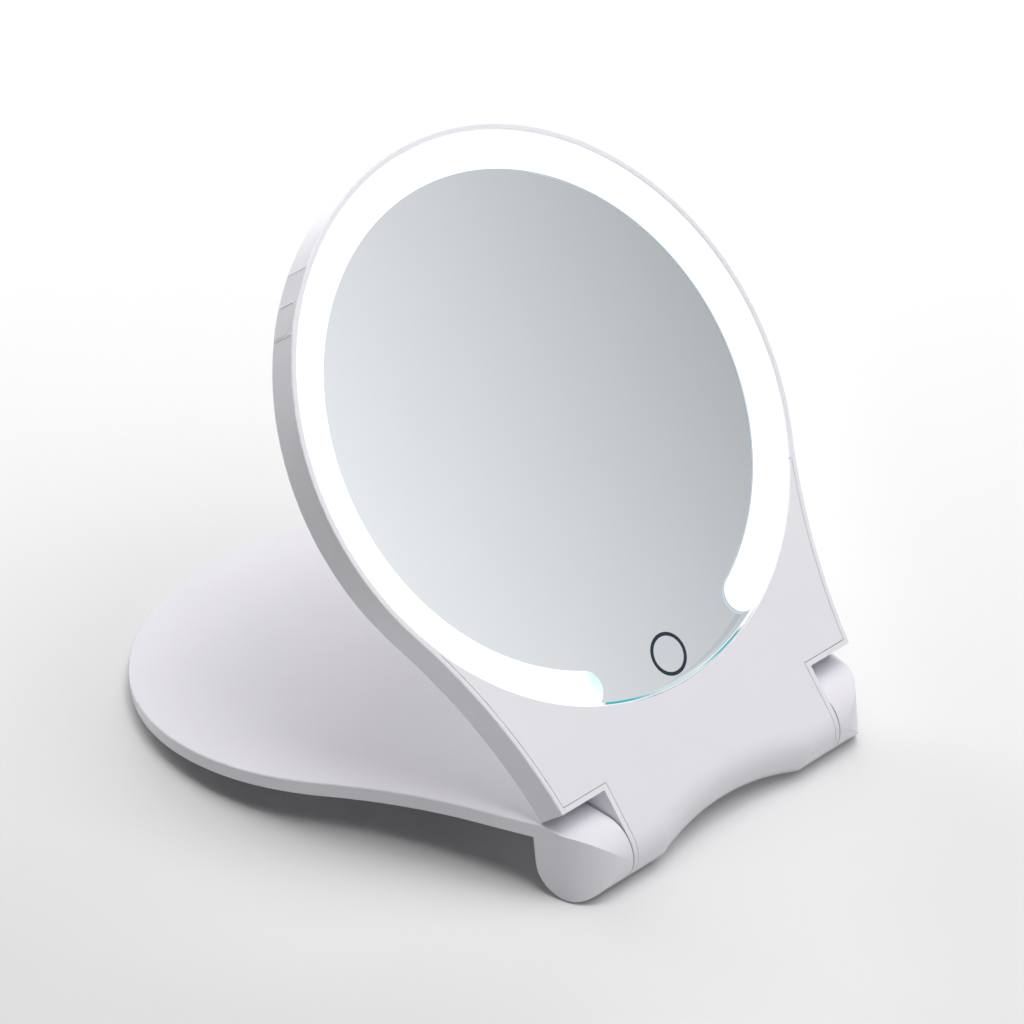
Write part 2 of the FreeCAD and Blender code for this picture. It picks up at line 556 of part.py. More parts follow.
def hold(sketch, kind, geometry, spot, name):
    """Tie one coordinate of a sketch point, or a radius, to a named cell."""
    if kind == "Radius":
        index = sketch.addConstraint(Sketcher.Constraint(kind, geometry, value(name)))
    elif name == "0":
        axis = -2 if kind == "DistanceX" else -1
        sketch.addConstraint(Sketcher.Constraint("PointOnObject", geometry, spot, axis))
        return
    else:
        index = sketch.addConstraint(Sketcher.Constraint(kind, geometry, spot, value(name)))
    label = "size%d" % index
    sketch.renameConstraint(index, label)
    sketch.setExpression("Constraints." + label, bound(name))


def add_outline(sketch, points, arcs):
    """A closed outline through named points; arcs maps an edge to its centre and its turn.

    A turn of 1 runs counter-clockwise round the centre, and -1 clockwise.
    """
    spots = [V(value(x), value(y), 0) for x, y in points]
    count = len(spots)
    ends = []
    for index in range(count):
        here = spots[index]
        there = spots[(index + 1) % count]
        if index not in arcs:
            edge = sketch.addGeometry(Part.LineSegment(here, there), False)
            ends.append((edge, 1, 2))
            continue
        centre_x, centre_y, turn = arcs[index]
        centre = V(value(centre_x), value(centre_y), 0)
        circle = Part.Circle(centre, Z_AXIS, (here - centre).Length)
        first, last = (here, there) if turn > 0 else (there, here)
        angles = [math.atan2(spot.y - centre.y, spot.x - centre.x) for spot in (first, last)]
        if angles[1] <= angles[0]:
            angles[1] += 2 * math.pi
        edge = sketch.addGeometry(Part.ArcOfCircle(circle, *angles), False)
        ends.append((edge, 1, 2) if turn > 0 else (edge, 2, 1))
    for index in range(count):
        edge, start, finish = ends[index]
        after, after_start, _ = ends[(index + 1) % count]
        sketch.addConstraint(Sketcher.Constraint("Coincident", edge, finish, after, after_start))
    for index in range(count):
        edge, start, finish = ends[index]
        if index in arcs:
            hold(sketch, "DistanceX", edge, 3, arcs[index][0])
            hold(sketch, "DistanceY", edge, 3, arcs[index][1])
        kinds = ["DistanceX", "DistanceY"]
        before = (index - 1) % count
        if before in arcs:
            # The arc before already leads here, so one coordinate is enough
            centre = V(value(arcs[before][0]), value(arcs[before][1]), 0)
            offset = spots[index] - centre
            kinds = ["DistanceX"] if abs(offset.y) > abs(offset.x) else ["DistanceY"]
        for kind in kinds:
            hold(sketch, kind, edge, start, points[index][0 if kind == "DistanceX" else 1])


def add_circle(sketch, x, y, radius):
    centre = V(value(x), value(y), 0)
    edge = sketch.addGeometry(Part.Circle(centre, Z_AXIS, value(radius)), False)
    hold(sketch, "DistanceX", edge, 3, x)
    hold(sketch, "DistanceY", edge, 3, y)
    hold(sketch, "Radius", edge, 0, radius)


def outline(body, role, points, arcs=None, lift=None, at=None, turn=None):
    sketch = new_sketch(body, role, lift, at, turn)
    add_outline(sketch, points, arcs or {})
    return sketch


def circles(body, role, rings, lift=None, at=None, turn=None):
    sketch = new_sketch(body, role, lift, at, turn)
    for x, y, radius in rings:
        add_circle(sketch, x, y, radius)
    return sketch


def rectangle(body, role, low, high, lift=None, at=None, turn=None):
    points = [low, (high[0], low[1]), high, (low[0], high[1])]
    return outline(body, role, points, None, lift, at, turn)


# Features

def new_body(name):
    body = doc.addObject("PartDesign::Body", name)
    body.AllowCompound = True
    return body


def extrude(body, kind, sketch, formula, symmetric=False):
    feature = body.newObject("PartDesign::" + kind, body.Name + "_" + kind.lower())
    feature.Profile = sketch
    feature.SideType = "Symmetric" if symmetric else "One side"
    feature.setExpression("Length", formula)
    return feature


def pad(body, sketch, formula, symmetric=False):
    return extrude(body, "Pad", sketch, formula, symmetric)


def pocket(body, sketch, formula, symmetric=False):
    """A cut against the sketch's normal, by a formula; it must take something away.

    A very small cut can be lost in the rounding of the whole volume, but it still leaves new faces.
    """
    doc.recompute()
    before = body.Shape.Volume
    faces = len(body.Shape.Faces)
    feature = extrude(body, "Pocket", sketch, formula, symmetric)
    doc.recompute()
    if body.Shape.Volume >= before and len(body.Shape.Faces) == faces:
        raise RuntimeError("a pocket of %s cuts nothing" % body.Name)
    return feature


def sweep_round(body, kind, sketch, angle):
    """Turn a sketch about its first construction line, half to each side."""
    feature = body.newObject("PartDesign::" + kind, body.Name + "_" + kind.lower())
    feature.Profile = sketch
    feature.ReferenceAxis = (sketch, ["Axis0"])
    feature.Midplane = True
    feature.setExpression("Angle", bound(angle))
    return feature


def round_edges(body, radius, chosen):
    """Round the edges that a test picks by their middle point."""
    doc.recompute()
    base = body.Tip
    names = []
    for number, edge in enumerate(base.Shape.Edges, start=1):
        middle = edge.valueAt((edge.FirstParameter + edge.LastParameter) / 2)
        if chosen(edge, middle):
            names.append("Edge%d" % number)
    feature = body.newObject("PartDesign::Fillet", body.Name + "_fillet")
    feature.Base = (base, names)
    feature.setExpression("Radius", bound(radius))
    return feature


def near(number, name):
    return abs(number - value(name)) < value("edge_find")


def on_outline(prefix):
    """A test for points on an outline's disc or flanks."""
    def test(point):
        disc = math.hypot(point.x, point.y - value("disc_rise"))
        side = math.hypot(abs(point.x) - value("flank_x"), point.y - value("flank_y"))
        return near(disc, prefix + "_radius") or near(side, prefix + "_flank")
    return test


def box(name, length, width, height, at):
    piece = doc.addObject("Part::Box", name)
    tie(piece, Length=length, Width=width, Height=height)
    piece.Placement = FreeCAD.Placement(at, FreeCAD.Rotation())
    return piece


def cylinder(name, radius, height, at, along=Z_AXIS):
    piece = doc.addObject("Part::Cylinder", name)
    tie(piece, Radius=radius, Height=height)
    piece.Placement = FreeCAD.Placement(at, FreeCAD.Rotation(Z_AXIS, along))
    return piece


def cut(name, base, tool):
    piece = doc.addObject("Part::Cut", name)
    piece.Base = base
    piece.Tool = tool
    return piece


def spot(*names):
    return V(*[value(name) for name in names])


# Outlines shared by several pieces

CENTRE = ("0", "disc_rise")
FLANK = ("flank_x", "flank_y")


def flank_arc(side, turn):
    return (FLANK[0] if side > 0 else flip(FLANK[0]), FLANK[1], turn)


def leaf_points(prefix, tail):
    """Right lower corner, up the flank, round the disc, down the left flank, then a tail."""
    corner = (prefix + "_ear_x", prefix + "_ear_y")
    tangent = (prefix + "_tan_x", prefix + "_tan_y")
    points = [corner, tangent, mirrored(tangent), mirrored(corner)] + tail
    arcs = {0: flank_arc(1, -1), 1: (*CENTRE, 1), 2: flank_arc(-1, -1)}
    return points, arcs


def ring_points(outer, inner):
    """An open ring with its gap at the bottom, from an outer and an inner end point."""
    out_end = (outer + "_x", outer + "_y")
    in_end = (inner + "_x", inner + "_y")
    points = [out_end, mirrored(out_end), mirrored(in_end), in_end]
    arcs = {0: (*CENTRE, 1), 2: (*CENTRE, -1)}
    return points, arcs


def apron_points(prefix, tip, half):
    """The panel below the glass, from its right ear round to the tongue."""
    corner = (prefix + "_ear_x", prefix + "_ear_y")
    end = (prefix + "_end_x", prefix + "_end_y")
    inner = (tip + "_x", tip + "_y")
    tongue = (half, prefix + "_ear_y")
    foot = (half, "0")
    points = [corner, end, inner, mirrored(inner), mirrored(end), mirrored(corner)]
    points += [mirrored(tongue), mirrored(foot), foot, tongue]
    arcs = {0: flank_arc(1, -1), 4: flank_arc(-1, -1)}
    return points, arcs


def scoop_axis_line(sketch):
    """The upright line that the finger scoop turns about, as a construction line."""
    low = V(value("scoop_axis"), -value("barrel_radius"), 0)
    high = V(value("scoop_axis"), value("barrel_radius"), 0)
    line = sketch.addGeometry(Part.LineSegment(low, high), True)
    sketch.addConstraint(Sketcher.Constraint("Vertical", line))
    hold(sketch, "DistanceX", line, 1, "scoop_axis")
    hold(sketch, "DistanceY", line, 1, "-barrel_radius")
    hold(sketch, "DistanceY", line, 2, "barrel_radius")


def cut_scoop(body):
    """Take the finger scoop out of the tongue's lower edge, rounded like the barrel."""
    points = [
        ("scoop_depth", "-barrel_radius"),
        ("scoop_depth", "barrel_radius"),
        ("scoop_depth", "barrel_beyond"),
        ("-barrel_beyond", "barrel_beyond"),
        ("-barrel_beyond", "-barrel_beyond"),
        ("scoop_depth", "-barrel_beyond"),
    ]
    sketch = outline(body, "YZ_Plane", points, {0: ("scoop_depth", "0", -1)})
    scoop_axis_line(sketch)
    return sweep_round(body, "Groove", sketch, "scoop_cut_angle")


TOWERS = [
    ("tower_outer_x", "tower_y"),
    ("tower_inner_x", "tower_y"),
    ("-tower_inner_x", "tower_y"),
    ("-tower_outer_x", "tower_y"),
]
BOARD_HOLES = [("board_screw_x", "board_screw_y"), ("-board_screw_x", "board_screw_y")]
BOSSES = [("boss_%d_x" % turn, "boss_%d_y" % turn) for turn in BOSS_TURNS]


# Mirror leaf: casing

def make_rear_shell():
    body = new_body("RearShell")
    tongue = ("tongue_half", "ear_bottom")
    foot = ("tongue_half", "0")
    tail = [mirrored(tongue), mirrored(foot), foot, tongue]
    points, arcs = leaf_points("leaf_edge", tail)
    pad(body, outline(body, "XY_Plane", points, arcs, "leaf_back"), "Sizes.leaf_depth")
    barrel = circles(body, "YZ_Plane", [("0", "0", "barrel_radius")])
    pad(body, barrel, "2 * Sizes.tongue_half", symmetric=True)
    on_edge = on_outline("leaf_edge")
    round_edges(body, "front_round", lambda edge, at: near(at.z, "leaf_front") and on_edge(at))
    round_edges(body, "rear_round", lambda edge, at: near(at.z, "leaf_back") and on_edge(at))
    cut_scoop(body)
    # Seat of the glass, and the well below the diffuser's ledge
    for radius, level in (("seat_radius", "reflector_back"), ("well_radius", "cavity_floor")):
        sketch = circles(body, "XY_Plane", [(*CENTRE, radius)], "leaf_front")
        pocket(body, sketch, "Sizes.leaf_front - Sizes." + level)
    # Recess of the front panel, the hollow under it and the open tongue
    points, arcs = apron_points("recess", "recess_in", "recess_half")
    pocket(body, outline(body, "XY_Plane", points, arcs, "leaf_front"), "Sizes.panel_thick")
    corner = ("hollow_ear_x", "hollow_ear_y")
    end = ("hollow_end_x", "hollow_end_y")
    inner = ("hollow_in_x", "hollow_in_y")
    points = [corner, end, inner, mirrored(inner), mirrored(end), mirrored(corner)]
    arcs = {0: flank_arc(1, -1), 2: (*CENTRE, -1), 4: flank_arc(-1, -1)}
    pocket(body, outline(body, "XY_Plane", points, arcs, "panel_back"),
           "Sizes.panel_back - Sizes.cavity_floor")
    points = [
        ("-barrel_beyond", "-shell_seam"),
        ("barrel_inner", "-shell_seam"),
        ("barrel_inner", "cavity_floor"),
        ("hollow_ear_y", "cavity_floor"),
        ("hollow_ear_y", "barrel_beyond"),
        ("-barrel_beyond", "barrel_beyond"),
    ]
    pocket(body, outline(body, "YZ_Plane", points), "2 * Sizes.recess_half", symmetric=True)
    # Blocks and bores of the hinge shafts
    for start in ("shaft_start", "-tongue_half"):
        block = rectangle(body, "YZ_Plane", ("-shaft_block_half", "-shell_seam"),
                          ("shaft_block_half", "shaft_block_top"), start)
        pad(body, block, "Sizes.block_long")
    for start in ("tongue_half", "-shaft_start"):
        bore = circles(body, "YZ_Plane", [("0", "0", "shaft_radius")], start)
        pocket(body, bore, "Sizes.block_long")
    # Bosses of the carrier, the board and the panel's towers, with their screw holes
    pad(body, circles(body, "XY_Plane", [(*boss, "boss_radius") for boss in BOSSES], "cavity_floor"),
        "Sizes.carrier_back - Sizes.cavity_floor")
    pad(body, circles(body, "XY_Plane", [(*at, "boss_radius") for at in BOARD_HOLES], "cavity_floor"),
        "Sizes.board_stand")
    pad(body, circles(body, "XY_Plane", [(*tower, "tower_radius") for tower in TOWERS], "cavity_floor"),
        "Sizes.tower_foot")
    pocket(body, circles(body, "XY_Plane", [(*boss, "screw_hole") for boss in BOSSES], "carrier_back"),
           "Sizes.carrier_screw_long")
    pocket(body, circles(body, "XY_Plane", [(*at, "screw_hole") for at in BOARD_HOLES], "board_back"),
           "Sizes.board_screw_long + Sizes.screw_play")
    pocket(body, circles(body, "XY_Plane", [(*tower, "screw_hole") for tower in TOWERS], "tower_level"),
           "Sizes.tower_foot + Sizes.back_wall")
    pocket(body, circles(body, "XY_Plane", [(*tower, "head_hole") for tower in TOWERS], "panel_head"),
           "Sizes.head_sink")
    # Recess and window of the charging port
    points = [("port_floor_a_x", "port_floor_a_y"), ("port_floor_b_x", "port_floor_b_y"),
              ("port_mouth_b_x", "port_mouth_b_y"), ("port_mouth_a_x", "port_mouth_a_y")]
    arcs = {0: (*CENTRE, 1), 2: (*CENTRE, -1)}
    pocket(body, outline(body, "XY_Plane", points, arcs, "port_high"), "Sizes.port_high - Sizes.port_low")
    for end in ("a", "b"):
        corners = ["groove_in_", "groove_out_", "port_mouth_", "groove_far_"]
        points = [(corner + end + "_x", corner + end + "_y") for corner in corners]
        pocket(body, outline(body, "XY_Plane", points, lift="leaf_front"),
               "Sizes.leaf_front - Sizes.port_high")
    sketch = rectangle(body, "XY_Plane", ("-grip_half", "grip_reach"), ("grip_half", "port_beyond"),
                       "leaf_front", CENTRE, "grip_angle")
    pocket(body, sketch, "Sizes.leaf_front - Sizes.leaf_back")
    points = [("hole_in_a_x", "hole_in_a_y"), ("hole_in_b_x", "hole_in_b_y"),
              ("hole_out_b_x", "hole_out_b_y"), ("hole_out_a_x", "hole_out_a_y")]
    pocket(body, outline(body, "XY_Plane", points, lift="socket_high"), "Sizes.socket_tall")
    return seat(body, "mirror_rear_shell", LEAF)


def make_front_apron():
    body = new_body("FrontPanel")
    points, arcs = apron_points("panel", "panel_tip", "panel_half")
    arcs[2] = (*CENTRE, -1)
    pad(body, outline(body, "XY_Plane", points, arcs, "panel_back"), "Sizes.panel_thick")
    # The skin turns round the barrel and ends in a seam behind it
    points = [("0", "barrel_radius"), ("-seam_out", "-panel_seam"),
              ("-seam_in", "-panel_seam"), ("0", "barrel_inner")]
    arcs = {0: ("0", "0", 1), 2: ("0", "0", -1)}
    pad(body, outline(body, "YZ_Plane", points, arcs), "2 * Sizes.panel_half", symmetric=True)
    cut_scoop(body)
    points = [("scoop_depth", "barrel_radius"), ("scoop_seam_out", "-panel_seam"),
              ("scoop_seam_in", "-panel_seam"), ("scoop_depth", "barrel_inner")]
    arcs = {0: ("scoop_depth", "0", 1), 2: ("scoop_depth", "0", -1)}
    sketch = outline(body, "YZ_Plane", points, arcs)
    scoop_axis_line(sketch)
    sweep_round(body, "Revolution", sketch, "scoop_wall_angle")
    # Screw towers
    pad(body, circles(body, "XY_Plane", [(*tower, "tower_radius") for tower in TOWERS], "tower_level"),
        "Sizes.panel_back - Sizes.tower_level")
    pocket(body, circles(body, "XY_Plane", [(*tower, "screw_hole") for tower in TOWERS], "tower_hole_top"),
           "Sizes.panel_screw_long + Sizes.screw_play")
    return seat(body, "front_apron", LEAF)


def add_screw(body, at, head, shank, head_up=True):
    """A slotted screw: its head from a named level, its shank by a formula, then the slot."""
    ring = circles(body, "XY_Plane", [("0", "0", "screw_head_radius")], head, at)
    features = [pad(body, ring, "Sizes.screw_head_tall")]
    stem = circles(body, "XY_Plane", [("0", "0", "screw_radius")], head, at)
    features.append(pad(body, stem, shank))
    slot = rectangle(body, "XY_Plane", ("-head_hole", "-slot_half"), ("head_hole", "slot_half"), head, at)
    features.append(extrude(body, "Pocket", slot, "Sizes.slot_depth"))
    for feature, along in zip(features, (head_up, not head_up, head_up)):
        if feature.TypeId.endswith("Pad"):
            feature.Reversed = not along
    if head_up:
        slot.setExpression("AttachmentOffset.Base.z", bound(head) + " + Sizes.screw_head_tall")
    else:
        slot.setExpression("AttachmentOffset.Base.z", bound(head) + " - Sizes.screw_head_tall")
        features[2].Reversed = True
    return features


def mirror_across(body, features):
    """Repeat features on the other side of the middle plane."""
    doc.recompute()
    planes = {feature.Role: feature for feature in body.Origin.OriginFeatures}
    twin = body.newObject("PartDesign::Mirrored", body.Name + "_mirrored")
    twin.Originals = features
    twin.MirrorPlane = (planes["YZ_Plane"], [""])
    body.Tip = twin
    return twin


def make_screws():
    body = new_body("PanelScrews")
    features = []
    for at in TOWERS[:2]:
        features += add_screw(body, at, "panel_head", "Sizes.panel_screw_long + Sizes.tower_level"
                              " - Sizes.panel_head", head_up=False)
    mirror_across(body, features)
    seat(body, "apron_screws", LEAF)
    body = new_body("BoardScrews")
    features = add_screw(body, BOARD_HOLES[0], "board_top", "Sizes.board_thick + Sizes.board_screw_long")
    mirror_across(body, features)
    seat(body, "board_screws", LEAF)
    body = new_body("CarrierScrews")
    features = []
    for at in BOSSES[:2]:
        features += add_screw(body, at, "carrier_head", "Sizes.carrier_head - Sizes.carrier_back"
                              " + Sizes.carrier_screw_long - Sizes.screw_play")
    mirror_across(body, features)
    seat(body, "carrier_screws", LEAF)


# Mirror leaf: glass and light

def flat_piece(label, lift, thickness, points=None, arcs=None, rings=()):
    """A flat piece of one thickness, from an outline and round holes or edges."""
    body = new_body(label.title().replace("_", ""))
    sketch = new_sketch(body, "XY_Plane", lift)
    if points:
        add_outline(sketch, points, arcs or {})
    for ring in rings:
        add_circle(sketch, *ring)
    pad(body, sketch, "Sizes." + thickness)
    return body


def make_mirror():
    body = flat_piece("mirror_glass", "glass_back", "glass_thick", rings=[(*CENTRE, "glass_radius")])
    round_edges(body, "glass_round", lambda edge, at: near(at.z, "glass_front"))
    seat(body, "mirror_glass", LEAF)
    rim = ("coat_rim_x", "coat_rim_y")
    foot = ("coat_foot_x", "coat_foot_y")
    bend = ("coat_bend_x", "coat_bend_y")
    points = [rim, foot, bend, mirrored(bend), mirrored(foot), mirrored(rim)]
    arcs = {
        1: ("coat_corner_x", "coat_corner_y", -1),
        2: (*CENTRE, 1),
        3: ("-coat_corner_x", "coat_corner_y", -1),
        5: (*CENTRE, 1),
    }
    touch = [("0", "touch_y", "touch_radius"), ("0", "touch_y", "touch_inner")]
    seat(flat_piece("mirror_coating", "coating_back", "coating_thick", points, arcs, touch),
         "mirror_coating", PRINT)
    seat(flat_piece("touch_ring", "coating_back", "coating_thick", rings=touch), "touch_ring", PRINT)
    tape = [(*CENTRE, "tape_outer"), (*CENTRE, "tape_inner")]
    seat(flat_piece("mirror_tape", "carrier_top", "tape_thick", rings=tape), "mirror_tape", LEAF)
    guide = ring_points("guide_out", "guide_in")
    seat(flat_piece("light_diffuser", "guide_back", "guide_thick", *guide), "light_diffuser", LEAF)
    seat(flat_piece("light_reflector", "reflector_back", "reflector_thick", *guide),
         "light_reflector", LEAF)
    body = new_body("LampStrip")
    sketch = outline(body, "XY_Plane", *ring_points("strip_out", "strip_in"), "guide_back")
    pad(body, sketch, "Sizes.carrier_top - Sizes.guide_back")
    seat(body, "led_strip", LEAF)
    body = new_body("Lamps")
    sketch = rectangle(body, "XY_Plane", ("-chip_half", "strip_outer"), ("chip_half", "chip_outer"),
                       "chip_low", CENTRE, "chip_first")
    lamp = pad(body, sketch, "Sizes.chip_tall")
    doc.recompute()
    ring = body.newObject("PartDesign::PolarPattern", "Lamps_ring")
    ring.Originals = [lamp]
    ring.Axis = (sketch, ["N_Axis"])
    tie(ring, Angle="chip_sweep", Occurrences="chip_count")
    body.Tip = ring
    seat(body, "led_chips", LEAF)


def make_carrier():
    body = new_body("Carrier")
    pad(body, circles(body, "XY_Plane", [(*CENTRE, "carrier_radius")], "carrier_back"),
        "Sizes.carrier_thick")
    foot = rectangle(body, "XY_Plane", ("-carrier_foot_half", "carrier_foot_low"),
                     ("carrier_foot_half", "carrier_foot_high"), "carrier_back")
    pad(body, foot, "Sizes.carrier_thick")
    wall = outline(body, "XY_Plane", *ring_points("wall_out", "lip_in"), "carrier_lip_back")
    pad(body, wall, "Sizes.carrier_back - Sizes.carrier_lip_back")
    lip = outline(body, "XY_Plane", *ring_points("lip_out", "lip_in"), "carrier_lip_back")
    pad(body, lip, "Sizes.carrier_lip_thick")
    holes = [("0", "touch_y", "contact_window"), ("-tail_x", "tail_y", "tail_hole")]
    holes += [(*boss, "screw_hole") for boss in BOSSES]
    pocket(body, circles(body, "XY_Plane", holes, "carrier_top"), "Sizes.carrier_thick")
    pocket(body, circles(body, "XY_Plane", [(*boss, "head_hole") for boss in BOSSES], "carrier_top"),
           "Sizes.head_sink")
    seat(body, "mirror_carrier", LEAF)


# Mirror leaf: electronics

def make_lead(name, runs):
    """A wire swept along straight runs between named points, with round corners."""
    spots = [spot(*run) for run in runs]
    path = doc.addObject("Part::Polygon", name + "_path")
    path.Nodes = spots
    ring = doc.addObject("Part::Circle", name + "_section")
    tie(ring, Radius="lead_radius")
    ring.Placement = FreeCAD.Placement(spots[0], FreeCAD.Rotation(Z_AXIS, spots[1] - spots[0]))
    lead = doc.addObject("Part::Sweep", name)
    lead.Sections = [ring]
    lead.Spine = (path, ["Edge%d" % number for number in range(1, len(spots))])
    lead.Solid = True
    lead.Transition = "Round corner"
    return lead


def compound(name, members):
    group = doc.addObject("Part::Compound", name)
    group.Links = members
    return group


def make_electronics():
    body = new_body("ControlBoard")
    pad(body, rectangle(body, "XY_Plane", ("-board_half", "board_low"), ("board_half", "board_high"),
                        "board_back"), "Sizes.board_thick")
    pocket(body, circles(body, "XY_Plane", [(*at, "screw_hole") for at in BOARD_HOLES], "board_top"),
           "Sizes.board_thick")
    seat(body, "main_board", LEAF)
    row = spot("0", "chip_row", "board_top")
    pitch = V(value("chip_main"), 0, 0)
    chips = [
        box("Controller", "chip_main", "chip_main", "chip_height", row - pitch * 1.5),
        box("Driver", "chip_small", "chip_small", "chip_height", row),
        box("Charger", "chip_small", "chip_small", "chip_height", row + pitch),
        box("Coil", "chip_small", "chip_small", "chip_height", row + pitch * 2),
    ]
    seat(compound("BoardChips", chips), "board_chips", LEAF)
    contact = cylinder("TouchContact", "contact_radius", "contact_tall", spot("0", "touch_y", "board_top"))
    seat(contact, "touch_contact", LEAF)
    body = new_body("Cell")
    pad(body, rectangle(body, "XY_Plane", ("-cell_half_wide", "-cell_half_tall"),
                        ("cell_half_wide", "cell_half_tall"), "cavity_floor", CENTRE), "Sizes.cell_thick")
    round_edges(body, "cell_round", lambda edge, at: at.z > value("lead_floor"))
    seat(body, "battery_cell", LEAF)
    leads = []
    for side in ("", "-"):
        x = side + "lead_pitch"
        leads.append(make_lead("CellLead", [(x, "cell_low", "lead_floor"),
                                            (x, "board_high", "lead_floor")]))
    seat(compound("CellLeads", leads), "battery_leads", LEAF)
    seat(make_lead("LampLead", [("-tail_x", "tail_y", "tail_top"), ("-tail_x", "tail_y", "lead_board"),
                                ("-board_screw_x", "led_lead_y", "lead_board")]), "led_lead", LEAF)
    seat(make_lead("ChargeLead", [("charge_start_x", "charge_start_y", "lead_floor"),
                                  ("charge_turn_x", "charge_turn_y", "lead_floor"),
                                  ("-charge_lead_x", "disc_rise", "lead_floor"),
                                  ("-charge_lead_x", "charge_lead_low", "lead_floor"),
                                  ("-board_screw_x", "lead_end", "lead_floor"),
                                  ("-board_screw_x", "board_high", "lead_floor")]), "charge_lead", LEAF)


PORT = FreeCAD.Placement(V(0, value("disc_rise"), 0), FreeCAD.Rotation(Z_AXIS, value("port_angle")))


def make_port():
    shell = box("SocketShell", "socket_long", "socket_deep", "socket_tall",
                V(-value("socket_long") / 2, value("socket_inner"), value("socket_low")))
    mouth = box("SocketMouth", "socket_mouth_long", "socket_deep", "socket_mouth_tall",
                V(-value("socket_mouth_long") / 2, value("socket_inner") + value("socket_wall"),
                  value("socket_low") + value("socket_wall")))
    tongue = box("SocketTongue", "socket_tongue_long", "socket_tongue_deep", "socket_wall",
                 V(-value("socket_tongue_long") / 2, value("socket_inner"),
                   value("socket_low") + (value("socket_tall") - value("socket_wall")) / 2))
    socket = doc.addObject("Part::MultiFuse", "Socket")
    socket.Shapes = [cut("SocketCase", shell, mouth), tongue]
    socket.Placement = PORT
    seat(socket, "usb_socket", LEAF)
    board = box("ChargeBoard", "charge_board_wide", "charge_board_long", "charge_board_thick",
                V(-value("charge_board_wide") / 2, value("charge_board_in"), value("cavity_floor")))
    board.Placement = PORT.multiply(board.Placement)
    seat(board, "charge_board", LEAF)
    body = new_body("PortCover")
    points = [("cover_in_a_x", "cover_in_a_y"), ("cover_in_b_x", "cover_in_b_y"),
              ("cover_out_b_x", "cover_out_b_y"), ("cover_out_a_x", "cover_out_a_y")]
    arcs = {0: (*CENTRE, 1), 1: ("cover_pin_x", "cover_pin_y", -1), 2: (*CENTRE, -1)}
    pad(body, outline(body, "XY_Plane", points, arcs, "cover_low"), "Sizes.cover_tall")
    points = [("plug_in_a_x", "plug_in_a_y"), ("plug_in_b_x", "plug_in_b_y"),
              ("plug_out_b_x", "plug_out_b_y"), ("plug_out_a_x", "plug_out_a_y")]
    pad(body, outline(body, "XY_Plane", points, lift="plug_low"), "Sizes.plug_tall")
    seat(body, "port_cover", LEAF)


# Hinge

def make_hinge():
    for side, name in ((1, "right"), (-1, "left")):
        along = X_AXIS * side
        label = name.title()
        shaft = cylinder("Shaft" + label, "shaft_radius", "shaft_long", along * value("shaft_start"), along)
        seat(shaft, "hinge_shaft_" + name, LEAF)
        start = along * value("sleeve_start")
        tube = cut("SleeveTube" + label,
                   cylinder("SleeveOut" + label, "sleeve_outer", "sleeve_long", start, along),
                   cylinder("SleeveIn" + label, "sleeve_inner", "sleeve_long", start, along))
        low = value("sleeve_start") if side > 0 else -value("shaft_end")
        slot = box("SleeveSlot" + label, "sleeve_long", "slot_long", "sleeve_slot",
                   V(low, value("shaft_radius"), -value("sleeve_slot") / 2))
        seat(cut("Sleeve" + label, tube, slot), "friction_sleeve_" + name, BASE)
        start = along * value("knuckle_inner") - along * (value("washer_thick") - value("washer_sink"))
        washer = cut("Washer" + label,
                     cylinder("WasherOut" + label, "washer_outer", "washer_thick", start, along),
                     cylinder("WasherIn" + label, "washer_inner", "washer_thick", start, along))
        seat(washer, "thrust_washer_" + name, BASE)


# Base

